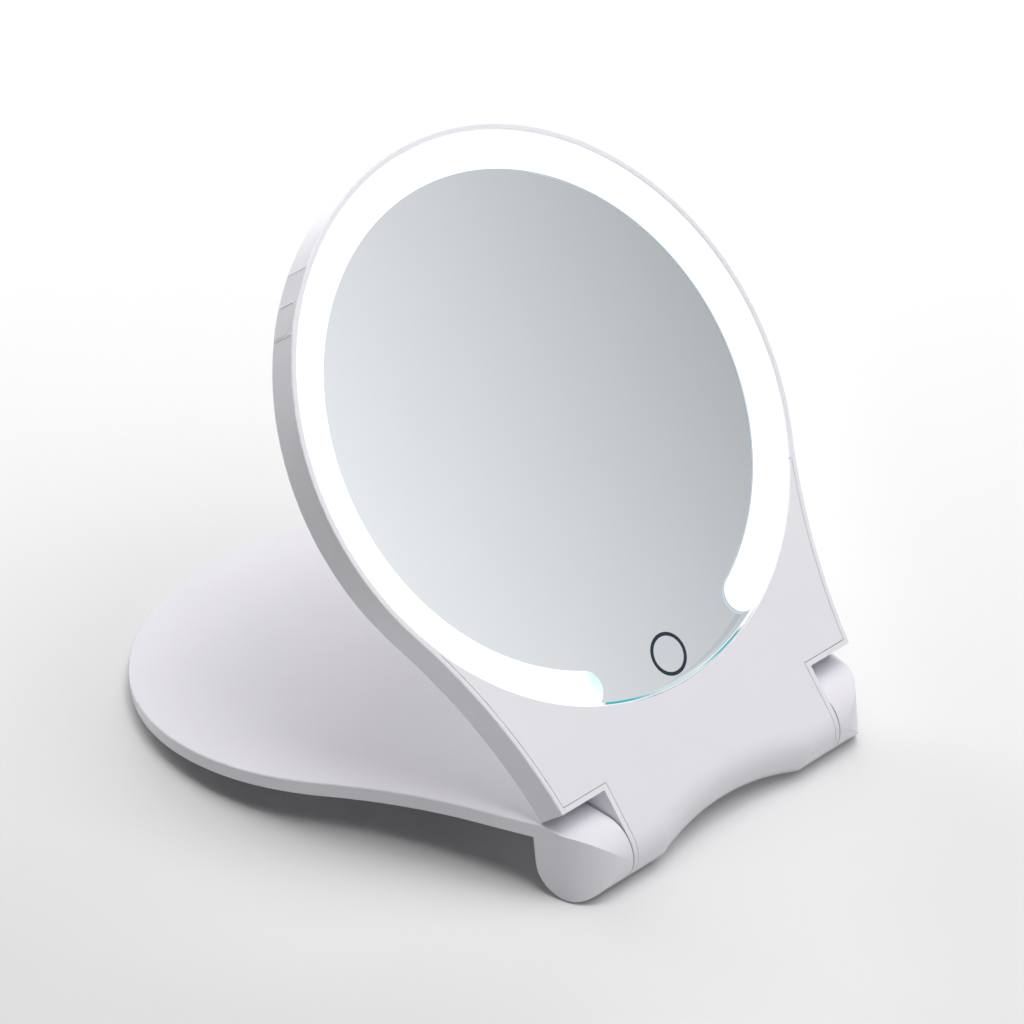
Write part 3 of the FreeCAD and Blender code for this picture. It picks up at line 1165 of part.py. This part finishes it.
def make_base():
    body = new_body("BaseCover")
    front = ("lid_front_x", "plate_front")
    taper = ("taper_x", "taper_start")
    tangent = ("lid_tan_x", "lid_tan_y")
    points = [front, taper, tangent, mirrored(tangent), mirrored(taper), mirrored(front)]
    arcs = {1: flank_arc(1, -1), 2: (*CENTRE, 1), 3: flank_arc(-1, -1)}
    pad(body, outline(body, "XY_Plane", points, arcs, "lid_bottom"), "Sizes.lid_edge")
    points, arcs = leaf_points("lid_inside", [])
    pocket(body, outline(body, "XY_Plane", points, arcs, "lid_under"), "Sizes.lid_hollow")
    # Knuckles: a barrel round the hinge axis that runs up into the plate
    points = [
        ("knuckle_back", "lid_top"),
        ("knuckle_crease", "lid_top"),
        ("crease_foot_x", "crease_foot_y"),
        ("barrel_radius", "0"),
        ("barrel_radius", "lid_under"),
        ("knuckle_back", "lid_under"),
    ]
    arcs = {2: ("0", "0", 1)}
    for start in ("knuckle_inner", "-lid_front_x"):
        pad(body, outline(body, "YZ_Plane", points, arcs, start), "Sizes.knuckle_long")
    points = [front, ("corner_tan_x", "corner_tan_y"), ("corner_x", "-barrel_radius"),
              ("corner_x", "-barrel_beyond"), ("corner_far", "-barrel_beyond"), ("corner_far", "plate_front")]
    for side in (1, -1):
        around = points if side > 0 else [mirrored(point) for point in points]
        middle = "corner_x" if side > 0 else "-corner_x"
        sketch = outline(body, "XY_Plane", around, {1: (middle, "corner_y", -side)}, "lid_beyond")
        pocket(body, sketch, "Sizes.lid_beyond + Sizes.barrel_beyond")
    # Level seats of the anti-slip pads, bores of the friction sleeves and seats of the washers
    points = [("flat_%s_x" % corner, "flat_%s_y" % corner) for corner in "abcd"]
    for start in ("seat_far", "-seat_near"):
        pocket(body, outline(body, "YZ_Plane", points, lift=start), "Sizes.seat_far - Sizes.seat_near")
    for start in ("bore_end", "-knuckle_inner"):
        pocket(body, circles(body, "YZ_Plane", [("0", "0", "sleeve_outer")], start), "Sizes.sleeve_hole")
    for start in ("sleeve_start", "-knuckle_inner"):
        pocket(body, circles(body, "YZ_Plane", [("0", "0", "washer_seat")], start), "Sizes.washer_sink")
    on_edge = on_outline("lid")
    round_edges(body, "lid_round", lambda edge, at: near(at.z, "lid_top") and on_edge(at)
                and at.y > value("taper_start"))
    seat(body, "base_cover", BASE)
    body = new_body("FootPads")
    foot = pad(body, rectangle(body, "XY_Plane", ("foot_start", "-pad_half"), ("pad_end", "pad_half")),
               "Sizes.foot_thick")
    corners = round_edges(body, "foot_round", lambda edge, at: near(at.z, "foot_proud"))
    twin = body.newObject("PartDesign::Mirrored", "FootPads_mirrored")
    planes = {feature.Role: feature for feature in body.Origin.OriginFeatures}
    twin.Originals = [foot, corners]
    twin.MirrorPlane = (planes["YZ_Plane"], [""])
    body.Tip = twin
    seat(body, "foot_pads", FLOOR)


make_rear_shell()
make_front_apron()
make_screws()
make_mirror()
make_carrier()
make_electronics()
make_port()
make_hinge()
make_base()
doc.recompute()

for item in doc.Objects:
    if "Invalid" in item.State or "Error" in item.State:
        raise RuntimeError("%s did not build: %s" % (item.Name, item.State))
os.makedirs("parts", exist_ok=True)
for label, piece in pieces.items():
    if piece.Shape.isNull() or not piece.Shape.isValid() or piece.Shape.Volume <= 0:
        raise RuntimeError("%s is not a sound solid" % label)
    piece.Shape.exportStep("parts/%s.step" % label)
    print(label, len(piece.Shape.Solids), round(piece.Shape.Volume))
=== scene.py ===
"""Looks of the lighted travel mirror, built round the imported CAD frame."""
import json
import math

import bmesh
import bpy
from mathutils import Matrix, Vector


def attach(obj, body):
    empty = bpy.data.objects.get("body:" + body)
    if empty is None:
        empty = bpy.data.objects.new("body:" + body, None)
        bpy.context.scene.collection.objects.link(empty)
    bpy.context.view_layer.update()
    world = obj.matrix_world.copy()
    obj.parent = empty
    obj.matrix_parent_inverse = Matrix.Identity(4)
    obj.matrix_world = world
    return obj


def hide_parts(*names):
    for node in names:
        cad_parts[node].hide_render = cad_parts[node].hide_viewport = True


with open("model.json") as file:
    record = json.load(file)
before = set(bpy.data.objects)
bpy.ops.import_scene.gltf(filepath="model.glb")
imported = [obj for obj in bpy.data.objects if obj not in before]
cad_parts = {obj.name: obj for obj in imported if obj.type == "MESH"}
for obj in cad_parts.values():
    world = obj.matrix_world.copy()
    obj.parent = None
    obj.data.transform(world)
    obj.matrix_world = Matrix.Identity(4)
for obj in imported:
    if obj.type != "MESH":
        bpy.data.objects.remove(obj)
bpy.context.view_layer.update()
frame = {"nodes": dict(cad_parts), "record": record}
scene = bpy.context.scene
nodes = frame["nodes"]
record = frame["record"]

# Frame of the mirror leaf, from the joints in the record
JOINTS = {joint["name"]: joint for joint in record["behaviour"]["joints"]}
AXIS = Vector(JOINTS["leaf_hinge"]["pos_m"])
OUT = Vector(JOINTS["port_flap_hinge"]["axis"]).normalized()
ALONG = Vector((1, 0, 0))
UP = OUT.cross(ALONG).normalized()
MM = 0.001
DEGREES = 180 / math.pi

# Sizes of the leaf in millimetres, and of the light ring's gap in degrees
DISC_RISE = 101.4
LEAF_RADIUS = 76.5
GAP_TURN = 1.4
GAP_HALF = 20.3
CENTRE = AXIS + UP * (DISC_RISE * MM)

FULL_WHITE = (1.0, 1.0, 1.0, 1.0)


def leaf(x, s, o):
    """A point of the leaf's own frame, given in millimetres, in the row frame in metres."""
    return AXIS + ALONG * (x * MM) + UP * (s * MM) + OUT * (o * MM)


def disc_point(radius, angle, out):
    """A point round the mirror's centre; the angle runs from the top to the right."""
    return leaf(radius * math.sin(angle), DISC_RISE + radius * math.cos(angle), out)


# Node-tree helpers

class Tree:
    """Short calls to build a node tree."""

    def __init__(self, owner):
        owner.use_nodes = True
        self.tree = owner.node_tree
        self.tree.nodes.clear()

    def add(self, kind, **settings):
        node = self.tree.nodes.new(kind)
        for name, value in settings.items():
            setattr(node, name, value)
        return node

    def join(self, source, target):
        self.tree.links.new(source, target)

    def feed(self, socket, value):
        """Link a socket, or set its own value."""
        if isinstance(value, bpy.types.NodeSocket):
            self.join(value, socket)
        else:
            socket.default_value = value

    def math(self, operation, first, second=None):
        node = self.add("ShaderNodeMath", operation=operation)
        self.feed(node.inputs[0], first)
        if second is not None:
            self.feed(node.inputs[1], second)
        return node.outputs[0]

    def product(self, first, second):
        return self.math("MULTIPLY", first, second)

    def total(self, first, second):
        return self.math("ADD", first, second)

    def larger(self, first, second):
        return self.math("MAXIMUM", first, second)

    def opposite(self, value):
        return self.math("SUBTRACT", 1.0, value)

    def vector(self, operation, first, second=None):
        node = self.add("ShaderNodeVectorMath", operation=operation)
        self.feed(node.inputs[0], first)
        if second is not None:
            self.feed(node.inputs[1], second)
        return node.outputs

    def dot(self, vector, axis):
        return self.vector("DOT_PRODUCT", vector, axis)["Value"]

    def place(self):
        return self.add("ShaderNodeTexCoord").outputs["Object"]

    def noise(self, vector, scale, detail=3.0, rough=0.55):
        node = self.add("ShaderNodeTexNoise")
        self.feed(node.inputs["Vector"], vector)
        node.inputs["Scale"].default_value = scale
        node.inputs["Detail"].default_value = detail
        node.inputs["Roughness"].default_value = rough
        return node.outputs["Fac"]

    def ramp(self, value, low, high, out_low=0.0, out_high=1.0, smooth=False):
        node = self.add("ShaderNodeMapRange", clamp=True)
        node.interpolation_type = "SMOOTHSTEP" if smooth else "LINEAR"
        self.feed(node.inputs["Value"], value)
        node.inputs["From Min"].default_value = low
        node.inputs["From Max"].default_value = high
        node.inputs["To Min"].default_value = out_low
        node.inputs["To Max"].default_value = out_high
        return node.outputs["Result"]

    def fall(self, value, low, high, smooth=False):
        """One below low, and none above high."""
        return self.ramp(value, low, high, 1.0, 0.0, smooth)

    def spread(self, noise, low, high):
        """The middle of a noise, stretched between two values."""
        return self.ramp(noise, 0.3, 0.7, low, high)

    def blend(self, factor, first, second):
        node = self.add("ShaderNodeMix", data_type="RGBA")
        self.feed(node.inputs["Factor"], factor)
        self.feed(node.inputs[6], first)
        self.feed(node.inputs[7], second)
        return node.outputs[2]

    def bump(self, height, strength, distance):
        node = self.add("ShaderNodeBump")
        self.feed(node.inputs["Height"], height)
        node.inputs["Strength"].default_value = strength
        node.inputs["Distance"].default_value = distance
        return node.outputs["Normal"]

    def mix(self, factor, first, second):
        """Two shaders by a factor."""
        node = self.add("ShaderNodeMixShader")
        self.feed(node.inputs[0], factor)
        self.join(first.outputs[0], node.inputs[1])
        self.join(second.outputs[0], node.inputs[2])
        return node

    def surface(self, shader):
        output = self.add("ShaderNodeOutputMaterial")
        self.join(shader.outputs[0], output.inputs["Surface"])


def new_material(name):
    material = bpy.data.materials.new(name)
    return material, Tree(material)


def rgba(red, green, blue):
    return (red, green, blue, 1.0)


def srgb(red, green, blue):
    """A colour read as 8-bit display values, as linear light."""
    return tuple(((c / 255 + 0.055) / 1.055) ** 2.4 for c in (red, green, blue)) + (1.0,)


def scaled(colour, factor):
    return tuple(min(1.0, c * factor) for c in colour[:3]) + (1.0,)


def moulded(name, colour, spread=0.03, rough=(0.30, 0.42), grain=900.0, relief=0.05, gloss_level=0.5):
    """Moulded plastic: slight flow marks in the colour, uneven gloss and a fine grain."""
    material, tree = new_material(name)
    place = tree.place()
    flow = tree.noise(place, scale=28.0, detail=4.0, rough=0.6)
    tint = tree.blend(tree.spread(flow, 0.0, 1.0), scaled(colour, 1 - spread), scaled(colour, 1 + spread))
    gloss = tree.noise(place, scale=140.0)
    fine = tree.noise(place, scale=grain, detail=2.0)
    shader = tree.add("ShaderNodeBsdfPrincipled")
    tree.feed(shader.inputs["Base Color"], tint)
    tree.feed(shader.inputs["Roughness"], tree.spread(gloss, *rough))
    tree.feed(shader.inputs["Normal"], tree.bump(fine, relief, distance=0.0004))
    shader.inputs["Specular IOR Level"].default_value = gloss_level
    tree.surface(shader)
    return material


def metal(name, colour, rough=(0.22, 0.36), stretch=(60.0, 1600.0, 1600.0)):
    """Turned or rolled metal with fine drawn lines."""
    material, tree = new_material(name)
    drawn = tree.add("ShaderNodeMapping")
    tree.feed(drawn.inputs["Vector"], tree.place())
    drawn.inputs["Scale"].default_value = stretch
    lines = tree.noise(drawn.outputs["Vector"], scale=1.0, detail=2.0)
    shader = tree.add("ShaderNodeBsdfPrincipled")
    tree.feed(shader.inputs["Base Color"], tree.blend(lines, scaled(colour, 0.8), colour))
    tree.feed(shader.inputs["Roughness"], tree.spread(lines, *rough))
    tree.feed(shader.inputs["Normal"], tree.bump(lines, 0.08, distance=0.0002))
    shader.inputs["Metallic"].default_value = 1.0
    tree.surface(shader)
    return material


def leaf_places(tree):
    """Radius from the mirror's centre, angle from straight down and depth: millimetres and degrees."""
    offset = tree.vector("SUBTRACT", tree.place(), CENTRE)["Vector"]
    across = tree.dot(offset, ALONG)
    rise = tree.dot(offset, UP)
    square = tree.total(tree.product(across, across), tree.product(rise, rise))
    radius = tree.product(tree.math("SQRT", square), 1 / MM)
    turn = tree.product(tree.math("ARCTAN2", across, tree.product(rise, -1.0)), DEGREES)
    depth = tree.product(tree.dot(offset, OUT), 1 / MM)
    return radius, turn, depth


# Materials

def glass_material():
    """Clear float glass: a faint reflection in front, a ground edge that glows with painted light, and a
    margin behind painted with the mirror's grey reflection.
    """
    material, tree = new_material("float_glass")
    place = tree.place()
    radius, turn, depth = leaf_places(tree)
    geometry = tree.add("ShaderNodeNewGeometry").outputs
    inside = geometry["Backfacing"]
    outside = tree.opposite(inside)
    # The pane itself
    clear = tree.add("ShaderNodeBsdfTransparent")
    tint = tree.noise(place, scale=60.0, detail=2.0)
    tree.feed(clear.inputs["Color"], tree.blend(tint, rgba(0.985, 0.988, 0.994), rgba(0.992, 0.994, 0.998)))
    gloss = tree.add("ShaderNodeBsdfGlossy")
    gloss.inputs["Roughness"].default_value = 0.02
    fresnel = tree.add("ShaderNodeFresnel")
    fresnel.inputs["IOR"].default_value = 1.45
    pane = tree.mix(tree.product(fresnel.outputs[0], outside), clear, gloss)
    # Where the glass shows its cut edge, its ground lip or the margin behind the rim: the places that are
    # painted with light
    ahead = tree.ramp(depth, 8.0, 8.1)
    lip = tree.ramp(radius, 74.18, 74.22)
    wider = tree.product(tree.ramp(turn, -4.0, 6.0), tree.ramp(radius, 73.92, 73.97))
    margin = tree.product(tree.ramp(radius, 73.90, 73.95), tree.fall(depth, 5.95, 6.05))
    side = tree.fall(tree.math("ABSOLUTE", tree.dot(geometry["Normal"], OUT)), 0.45, 0.75)
    edge = tree.larger(side, tree.larger(tree.product(tree.larger(lip, wider), ahead), margin))
    # The lip glows with painted light from the lamps: white beside the ring, blue-green and pale across its
    # gap
    pale = rgba(0.93, 0.97, 0.98)
    teal_glow = tree.blend(tree.noise(place, scale=90.0, detail=2.0), srgb(42, 160, 174), srgb(84, 200, 206))
    faint = tree.product(tree.ramp(turn, -14.0, -6.0, 0.0, 0.6), tree.fall(turn, 5.0, 11.0))
    line = tree.blend(lip, pale, tree.blend(faint, teal_glow, pale))
    line = tree.blend(tree.ramp(radius, 74.74, 74.78), line, pale)
    lit = tree.larger(tree.ramp(turn, 17.5, 19.5), tree.fall(turn, -20.8, -20.1))
    # The margin is a painted reflection, as grey as the mirror across the gap, and painted white light
    # beside the ring
    painted_mirror_grey = tree.blend(tree.ramp(turn, -19.0, 21.0), srgb(218, 223, 226), srgb(191, 196, 199))
    beyond = tree.math("ABSOLUTE", tree.math("SUBTRACT", turn, GAP_TURN))
    beside = tree.ramp(beyond, GAP_HALF + 2.58, GAP_HALF + 4.30)
    shown = tree.product(ahead, outside)
    glow = tree.add("ShaderNodeEmission")
    tree.feed(glow.inputs["Color"], tree.blend(shown, tree.blend(beside, painted_mirror_grey, FULL_WHITE),
                                               tree.blend(lit, line, FULL_WHITE)))
    # What the silvering mirrors is dimmed by it, so it is a little stronger
    mirrored = tree.product(inside, tree.ramp(ahead, 0.0, 1.0, 0.06, 0.09))
    tree.feed(glow.inputs["Strength"], tree.total(mirrored, tree.ramp(beside, 0.0, 1.0, 1.0, 1.15)))
    tree.surface(tree.mix(edge, pane, glow))
    return material


def silver_material():
    """Silvering: a clean mirror with the faintest wipe marks."""
    material, tree = new_material("silvering")
    haze = tree.noise(tree.place(), scale=22.0, detail=4.0)
    shader = tree.add("ShaderNodeBsdfPrincipled")
    tint = tree.blend(haze, rgba(0.845, 0.87, 0.885), rgba(0.86, 0.885, 0.90))
    tree.feed(shader.inputs["Base Color"], tint)
    tree.feed(shader.inputs["Roughness"], tree.spread(haze, 0.010, 0.022))
    shader.inputs["Metallic"].default_value = 1.0
    tree.surface(shader)
    return material


def lit_shader(tree, base, emission, strength):
    """Matt plastic or glass that gives light of its own."""
    shader = tree.add("ShaderNodeBsdfPrincipled")
    shader.inputs["Base Color"].default_value = base
    shader.inputs["Roughness"].default_value = 0.5
    tree.feed(shader.inputs["Emission Color"], emission)
    tree.feed(shader.inputs["Emission Strength"], strength)
    return shader


def diffuser_material():
    """Opal diffuser behind the glass: lit, but cooler and dimmer than the etched band before it."""
    material, tree = new_material("opal_lit")
    mottle = tree.noise(tree.place(), scale=300.0)
    light = tree.blend(mottle, rgba(0.50, 0.60, 0.68), rgba(0.54, 0.63, 0.70))
    tree.surface(lit_shader(tree, rgba(0.16, 0.18, 0.20), light, 0.92))
    return material


def etched_material():
    """Etched band of the glass that spreads the lamps' light, faintly blue-green at its left end."""
    material, tree = new_material("etched_lit")
    radius, turn, _ = leaf_places(tree)
    end = tree.product(tree.ramp(turn, -24.6, -19.6, smooth=True), tree.fall(turn, -10.0, -5.0))
    cool = tree.product(end, tree.ramp(radius, 65.5, 73.5, 1.0, 0.25))
    mottle = tree.noise(tree.place(), scale=300.0)
    light = tree.blend(cool, tree.blend(mottle, rgba(0.985, 0.99, 1.0), FULL_WHITE), rgba(0.55, 0.93, 0.94))
    normal = tree.add("ShaderNodeNewGeometry").outputs["Normal"]
    ahead = tree.ramp(tree.dot(normal, OUT), -0.3, 0.0)
    strength = tree.product(ahead, tree.ramp(cool, 0.0, 1.0, 1.2, 0.95))
    tree.surface(lit_shader(tree, rgba(0.10, 0.11, 0.11), light, strength))
    return material


white = moulded("white_plastic", rgba(0.860, 0.846, 0.893), spread=0.012, rough=(0.16, 0.24),
                grain=1400.0, relief=0.02)
PAINT = {
    "white_plastic": white,
    "mirror_glass": glass_material(),
    "silvering": silver_material(),
    "touch_print": moulded("touch_print", srgb(18, 42, 58), spread=0.10, rough=(0.5, 0.6), gloss_level=0.1),
    "opal_plastic": diffuser_material(),
    "white_sheet": moulded("white_sheet", rgba(0.88, 0.88, 0.88), spread=0.02, rough=(0.6, 0.75)),
    "flex_strip": moulded("flex_strip", srgb(188, 130, 52), spread=0.10, rough=(0.35, 0.5)),
    "lamp_chip": moulded("lamp_chip", srgb(242, 224, 130), spread=0.06, rough=(0.3, 0.45)),
    "bond_tape": moulded("bond_tape", rgba(0.035, 0.035, 0.037), spread=0.25, rough=(0.75, 0.9),
                         grain=1800.0, relief=0.35),
    "grey_plastic": moulded("grey_plastic", rgba(0.28, 0.285, 0.30), spread=0.05, rough=(0.45, 0.6)),
    "circuit_board": moulded("circuit_board", srgb(14, 92, 58), spread=0.18, rough=(0.25, 0.45),
                             grain=700.0, relief=0.15),
    "black_plastic": moulded("black_plastic", rgba(0.018, 0.018, 0.02), spread=0.2, rough=(0.45, 0.6)),
    "foam": moulded("foam", rgba(0.03, 0.03, 0.032), spread=0.3, rough=(0.85, 0.95),
                    grain=1500.0, relief=0.5),
    "cell_foil": metal("cell_foil", rgba(0.62, 0.63, 0.65), (0.3, 0.45), stretch=(300.0, 300.0, 300.0)),
    "red_wire": moulded("red_wire", srgb(176, 34, 30), spread=0.08, rough=(0.4, 0.55)),
    "white_wire": moulded("white_wire", rgba(0.72, 0.72, 0.70), spread=0.05, rough=(0.4, 0.55)),
    "steel": metal("steel", rgba(0.58, 0.58, 0.60)),
    "spring_steel": metal("spring_steel", rgba(0.40, 0.41, 0.43)),
    "slide_plastic": moulded("slide_plastic", rgba(0.78, 0.75, 0.66), spread=0.04, rough=(0.4, 0.5)),
    "foot_rubber": moulded("foot_rubber", rgba(0.10, 0.10, 0.105), spread=0.15, rough=(0.7, 0.85),
                           grain=1600.0, relief=0.3),
}
SLOT_OF = {row["node"]: row["material_slot"] for row in record["subparts"]}
for name, piece in nodes.items():
    piece.data.materials.clear()
    piece.data.materials.append(PAINT[SLOT_OF[name]])


# Pieces of the scene

def loft(name, rings, material):
    """A closed piece skinned over rings of points, each a closed loop, with a cap at either end."""
    build = bmesh.new()
    loops = [[build.verts.new(point) for point in ring] for ring in rings]
    for before, after in zip(loops, loops[1:]):
        for step in range(len(before)):
            follow = (step + 1) % len(before)
            build.faces.new((before[step], before[follow], after[follow], after[step]))
    build.faces.new(loops[0])
    build.faces.new(loops[-1][::-1])
    bmesh.ops.recalc_face_normals(build, faces=build.faces)
    mesh = bpy.data.meshes.new(name)
    build.to_mesh(mesh)
    build.free()
    mesh.materials.append(material)
    piece = bpy.data.objects.new(name, mesh)
    scene.collection.objects.link(piece)
    return piece


def turned_rings(profile, steps=256):
    """Full rings about the mirror's centre, from (radius, out) pairs in millimetres."""
    angles = [2 * math.pi * step / steps for step in range(steps)]
    return [[disc_point(radius, angle, out) for angle in angles] for radius, out in profile]


def open_ring_rows(inner, outer, halves, corner, low, high, turn, steps=300, end_steps=16):
    """Sections of a flat open ring with round ends, in millimetres and radians.

    halves are the angles of its gap to the right and to the left of straight down.
    """
    reach = inner + corner
    lean = math.asin(corner / reach)
    first = halves[0] + lean
    last = 2 * math.pi - halves[1] - lean
    ends = [lean * math.cos(math.pi / 2 * step / end_steps) for step in range(end_steps)]
    middle = [first + (last - first) * step / steps for step in range(steps + 1)]
    angles = [first - end for end in ends] + middle + [last + end for end in reversed(ends)]
    rows = []
    for angle in angles:
        off = max(0.0, first - angle, angle - last)
        chord = math.sqrt(max(0.0, corner * corner - (reach * math.sin(off)) ** 2))
        near = inner if off == 0 else reach * math.cos(off) - chord
        far = outer if off == 0 else min(outer, reach * math.cos(off) + chord)
        corners = ((near, low), (far, low), (far, high), (near, high))
        rows.append([disc_point(radius, math.pi - angle - turn, out) for radius, out in corners])
    return rows


def seam_rings(angle, low, high):
    """Ends of a thin wedge across the side wall; the angle is in degrees to the left of the top."""
    section = ((0.0, -0.05), (0.0, 0.01), (0.30, 0.17), (0.36, 0.12), (0.36, -0.05))
    return [[disc_point(LEAF_RADIUS + proud, -math.radians(angle) - shift / LEAF_RADIUS, out)
             for shift, proud in section] for out in (low, high)]


# Mirror glass with a ground edge, a hair clear of the silvering behind it
PANE_PROFILE = ((74.9, 5.72), (75.0, 5.82), (75.0, 8.3), (74.85, 8.68), (74.2, 8.9))
glass = loft("mirror_pane", turned_rings(PANE_PROFILE), PAINT["mirror_glass"])
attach(glass, "mirror_leaf")
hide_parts("mirror_glass")

# Etched light band: an open ring with round ends, a little before the silvering
band_halves = (math.radians(GAP_HALF) + 0.010, math.radians(GAP_HALF) - 0.004)
band_rows = open_ring_rows(inner=65.38, outer=74.85, halves=band_halves, corner=4.95,
                           low=6.12, high=6.18, turn=math.radians(GAP_TURN))
etched = loft("etched_band", band_rows, etched_material())
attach(etched, "mirror_leaf")

# Raised seam lips on the side wall, below the finger flat and below the port cover
flat_lip = loft("flat_lip", seam_rings(45.3, low=1.2, high=7.2), white)
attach(flat_lip, "port_flap")
cover_lip = loft("cover_lip", seam_rings(52.1, low=1.0, high=8.7), white)
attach(cover_lip, "mirror_leaf")

# Floor: pale paper with the shadow on it, painted darker towards the near left; lifted to white where only
# the backdrop is seen, with painted light that lightens the shadow beside the front and, faintly, every
# shadow
FLOOR_HALF = 6.0
LENGTHWAYS = Vector((0.70, 0.71, 0.0))
SIDEWAYS = Vector((0.703, -0.711, 0.0))
SHADED_NEAR_LEFT = Vector((-1.0, -0.3, 0.0))
FORWARD = Vector((0, 1, 0))
SKYWARD = Vector((0, 0, 1))
floor_mesh = bpy.data.meshes.new("floor")
floor_corners = [(x * FLOOR_HALF, y * FLOOR_HALF, 0) for x, y in ((-1, -1), (1, -1), (1, 1), (-1, 1))]
floor_mesh.from_pydata(floor_corners, [], [(0, 1, 2, 3)])
floor = bpy.data.objects.new("floor", floor_mesh)
scene.collection.objects.link(floor)
material, tree = new_material("floor_paper")
place = tree.place()
mottle = tree.blend(tree.noise(place, scale=4.0, detail=2.0),
                    rgba(0.73, 0.73, 0.735), rgba(0.74, 0.74, 0.745))
paper = tree.add("ShaderNodeBsdfDiffuse")
# Painted shade: the paper is darker towards the near left
tree.feed(paper.inputs["Color"],
          tree.blend(tree.ramp(tree.dot(place, SHADED_NEAR_LEFT), 0.075, 0.16), mottle, rgba(0.67, 0.67, 0.672)))
across = tree.dot(place, SIDEWAYS)
# Painted light: a glow on the floor beside the front lightens the shadow cast there
painted_light_beside = tree.product(tree.ramp(across, -0.02, 0.07, 0.0, 0.085, smooth=True),
                           tree.ramp(across, 0.08, 0.13, 1.0, 0.3, smooth=True))
# The lift rises towards the back; its least value, 0.008, is a faint painted light over every shadow
behind_part = tree.ramp(tree.dot(place, LENGTHWAYS), -0.10, 0.40, 0.008, 0.20, smooth=True)
rays = tree.add("ShaderNodeLightPath").outputs
mirrored_right = tree.ramp(tree.dot(place, ALONG), 0.0, 0.5)
far_off = tree.product(tree.ramp(tree.vector("LENGTH", place)["Value"], 0.42, 1.4, 0.0, 0.9, smooth=True),
                       tree.larger(rays["Is Camera Ray"], mirrored_right))
lift = tree.total(tree.total(behind_part, painted_light_beside), far_off)
mirrored = tree.larger(rays["Is Glossy Ray"], rays["Is Transmission Ray"])
glow = tree.add("ShaderNodeEmission")
tree.feed(glow.inputs["Strength"], tree.product(tree.larger(rays["Is Camera Ray"], mirrored), lift))
both = tree.add("ShaderNodeAddShader")
tree.join(paper.outputs[0], both.inputs[0])
tree.join(glow.outputs[0], both.inputs[1])
tree.surface(both)
floor.data.materials.append(material)

# Studio: white to the eye, a soft slope of grey in the mirror and a bright backdrop behind
MIRROR_SEES = Vector((0.61, -0.652, 0.446))
SLOPE = Vector((-4.40, -2.75, 2.05))
MIDDLE_GREY = 0.85
DARKEST, BRIGHTEST = 0.42, 1.12
BACKDROP = 1.6
AMBIENT = 0.04
world = bpy.data.worlds.new("studio")
scene.world = world
tree = Tree(world)
heading = tree.add("ShaderNodeTexCoord").outputs["Generated"]
fade = tree.total(tree.dot(heading, SLOPE), MIDDLE_GREY - SLOPE.dot(MIRROR_SEES))
studio = tree.ramp(fade, DARKEST, BRIGHTEST, DARKEST, BRIGHTEST)
backdrop = tree.product(tree.ramp(tree.dot(heading, ALONG), 0.0, 0.35),
                        tree.ramp(tree.dot(heading, FORWARD), 0.5, 0.8))
backdrop = tree.product(backdrop, tree.ramp(tree.dot(heading, SKYWARD), 0.05, 0.22, BACKDROP, 0.0))
rays = tree.add("ShaderNodeLightPath").outputs
mirrored = tree.larger(rays["Is Glossy Ray"], rays["Is Transmission Ray"])
seen = tree.total(tree.product(mirrored, tree.larger(studio, backdrop)), rays["Is Camera Ray"])
unseen = tree.product(tree.opposite(tree.larger(mirrored, rays["Is Camera Ray"])), AMBIENT)
sky = tree.add("ShaderNodeBackground")
sky.inputs["Color"].default_value = FULL_WHITE
tree.feed(sky.inputs["Strength"], tree.total(seen, unseen))
output = tree.add("ShaderNodeOutputWorld")
tree.join(sky.outputs[0], output.inputs["Surface"])

# Soft lights, each a square panel turned to the part: place in metres and power in watts
AIM = Vector((0, 0, 0.05))
PANEL = 0.8
SOFTBOXES = {
    "overhead": ((0.0, -0.1, 1.45), 7.0),
    "front": ((0.0, -0.7, 1.26), 8.4),
    "front_right": ((0.495, -0.495, 1.26), 3.3),
    "rear": ((0.0, 0.7, 1.26), 2.8),
    "rear_low": ((0.0, 1.21, 0.75), 5.8),
    "rear_right": ((0.857, 0.857, 0.75), 3.6),
}
for name, (spot, power) in SOFTBOXES.items():
    lamp = bpy.data.lights.new(name, "AREA")
    lamp.shape = "RECTANGLE"
    lamp.size = PANEL
    lamp.size_y = PANEL
    lamp.energy = power
    box = bpy.data.objects.new(name, lamp)
    scene.collection.objects.link(box)
    box.visible_glossy = False
    box.location = spot
    box.rotation_euler = (AIM - Vector(spot)).to_track_quat("-Z", "Y").to_euler()

# Camera fitted to the photograph: angles in degrees, focal length and shifts in pixels of its width
PHOTO_WIDTH = 1024
SENSOR = 36.0
FOCAL = 5159.64
SHIFT = (-9.07, 1.19)
DISTANCE = 1.30878
TARGET = AXIS + Vector((-5.16, 60.0, 57.52)) * MM
azimuth, elevation, roll = (math.radians(angle) for angle in (-45.35, 30.33, -1.59))
back = Vector((math.sin(azimuth) * math.cos(elevation), -math.cos(azimuth) * math.cos(elevation),
               math.sin(elevation)))
right = Vector((math.cos(azimuth), math.sin(azimuth), 0))
up = back.cross(right)
view_right = right * math.cos(roll) + up * math.sin(roll)
view_up = up * math.cos(roll) - right * math.sin(roll)
camera_data = bpy.data.cameras.new("camera")
camera_data.sensor_width = SENSOR
camera_data.lens = FOCAL * SENSOR / PHOTO_WIDTH
camera_data.shift_x, camera_data.shift_y = (pixels / PHOTO_WIDTH for pixels in SHIFT)
camera_data.clip_end = 50.0
camera = bpy.data.objects.new("camera", camera_data)
scene.collection.objects.link(camera)
spin = Matrix((view_right, view_up, back)).transposed().to_4x4()
camera.matrix_world = Matrix.Translation(TARGET + back * DISTANCE) @ spin
scene.camera = camera
scene.view_settings.view_transform = "Standard"
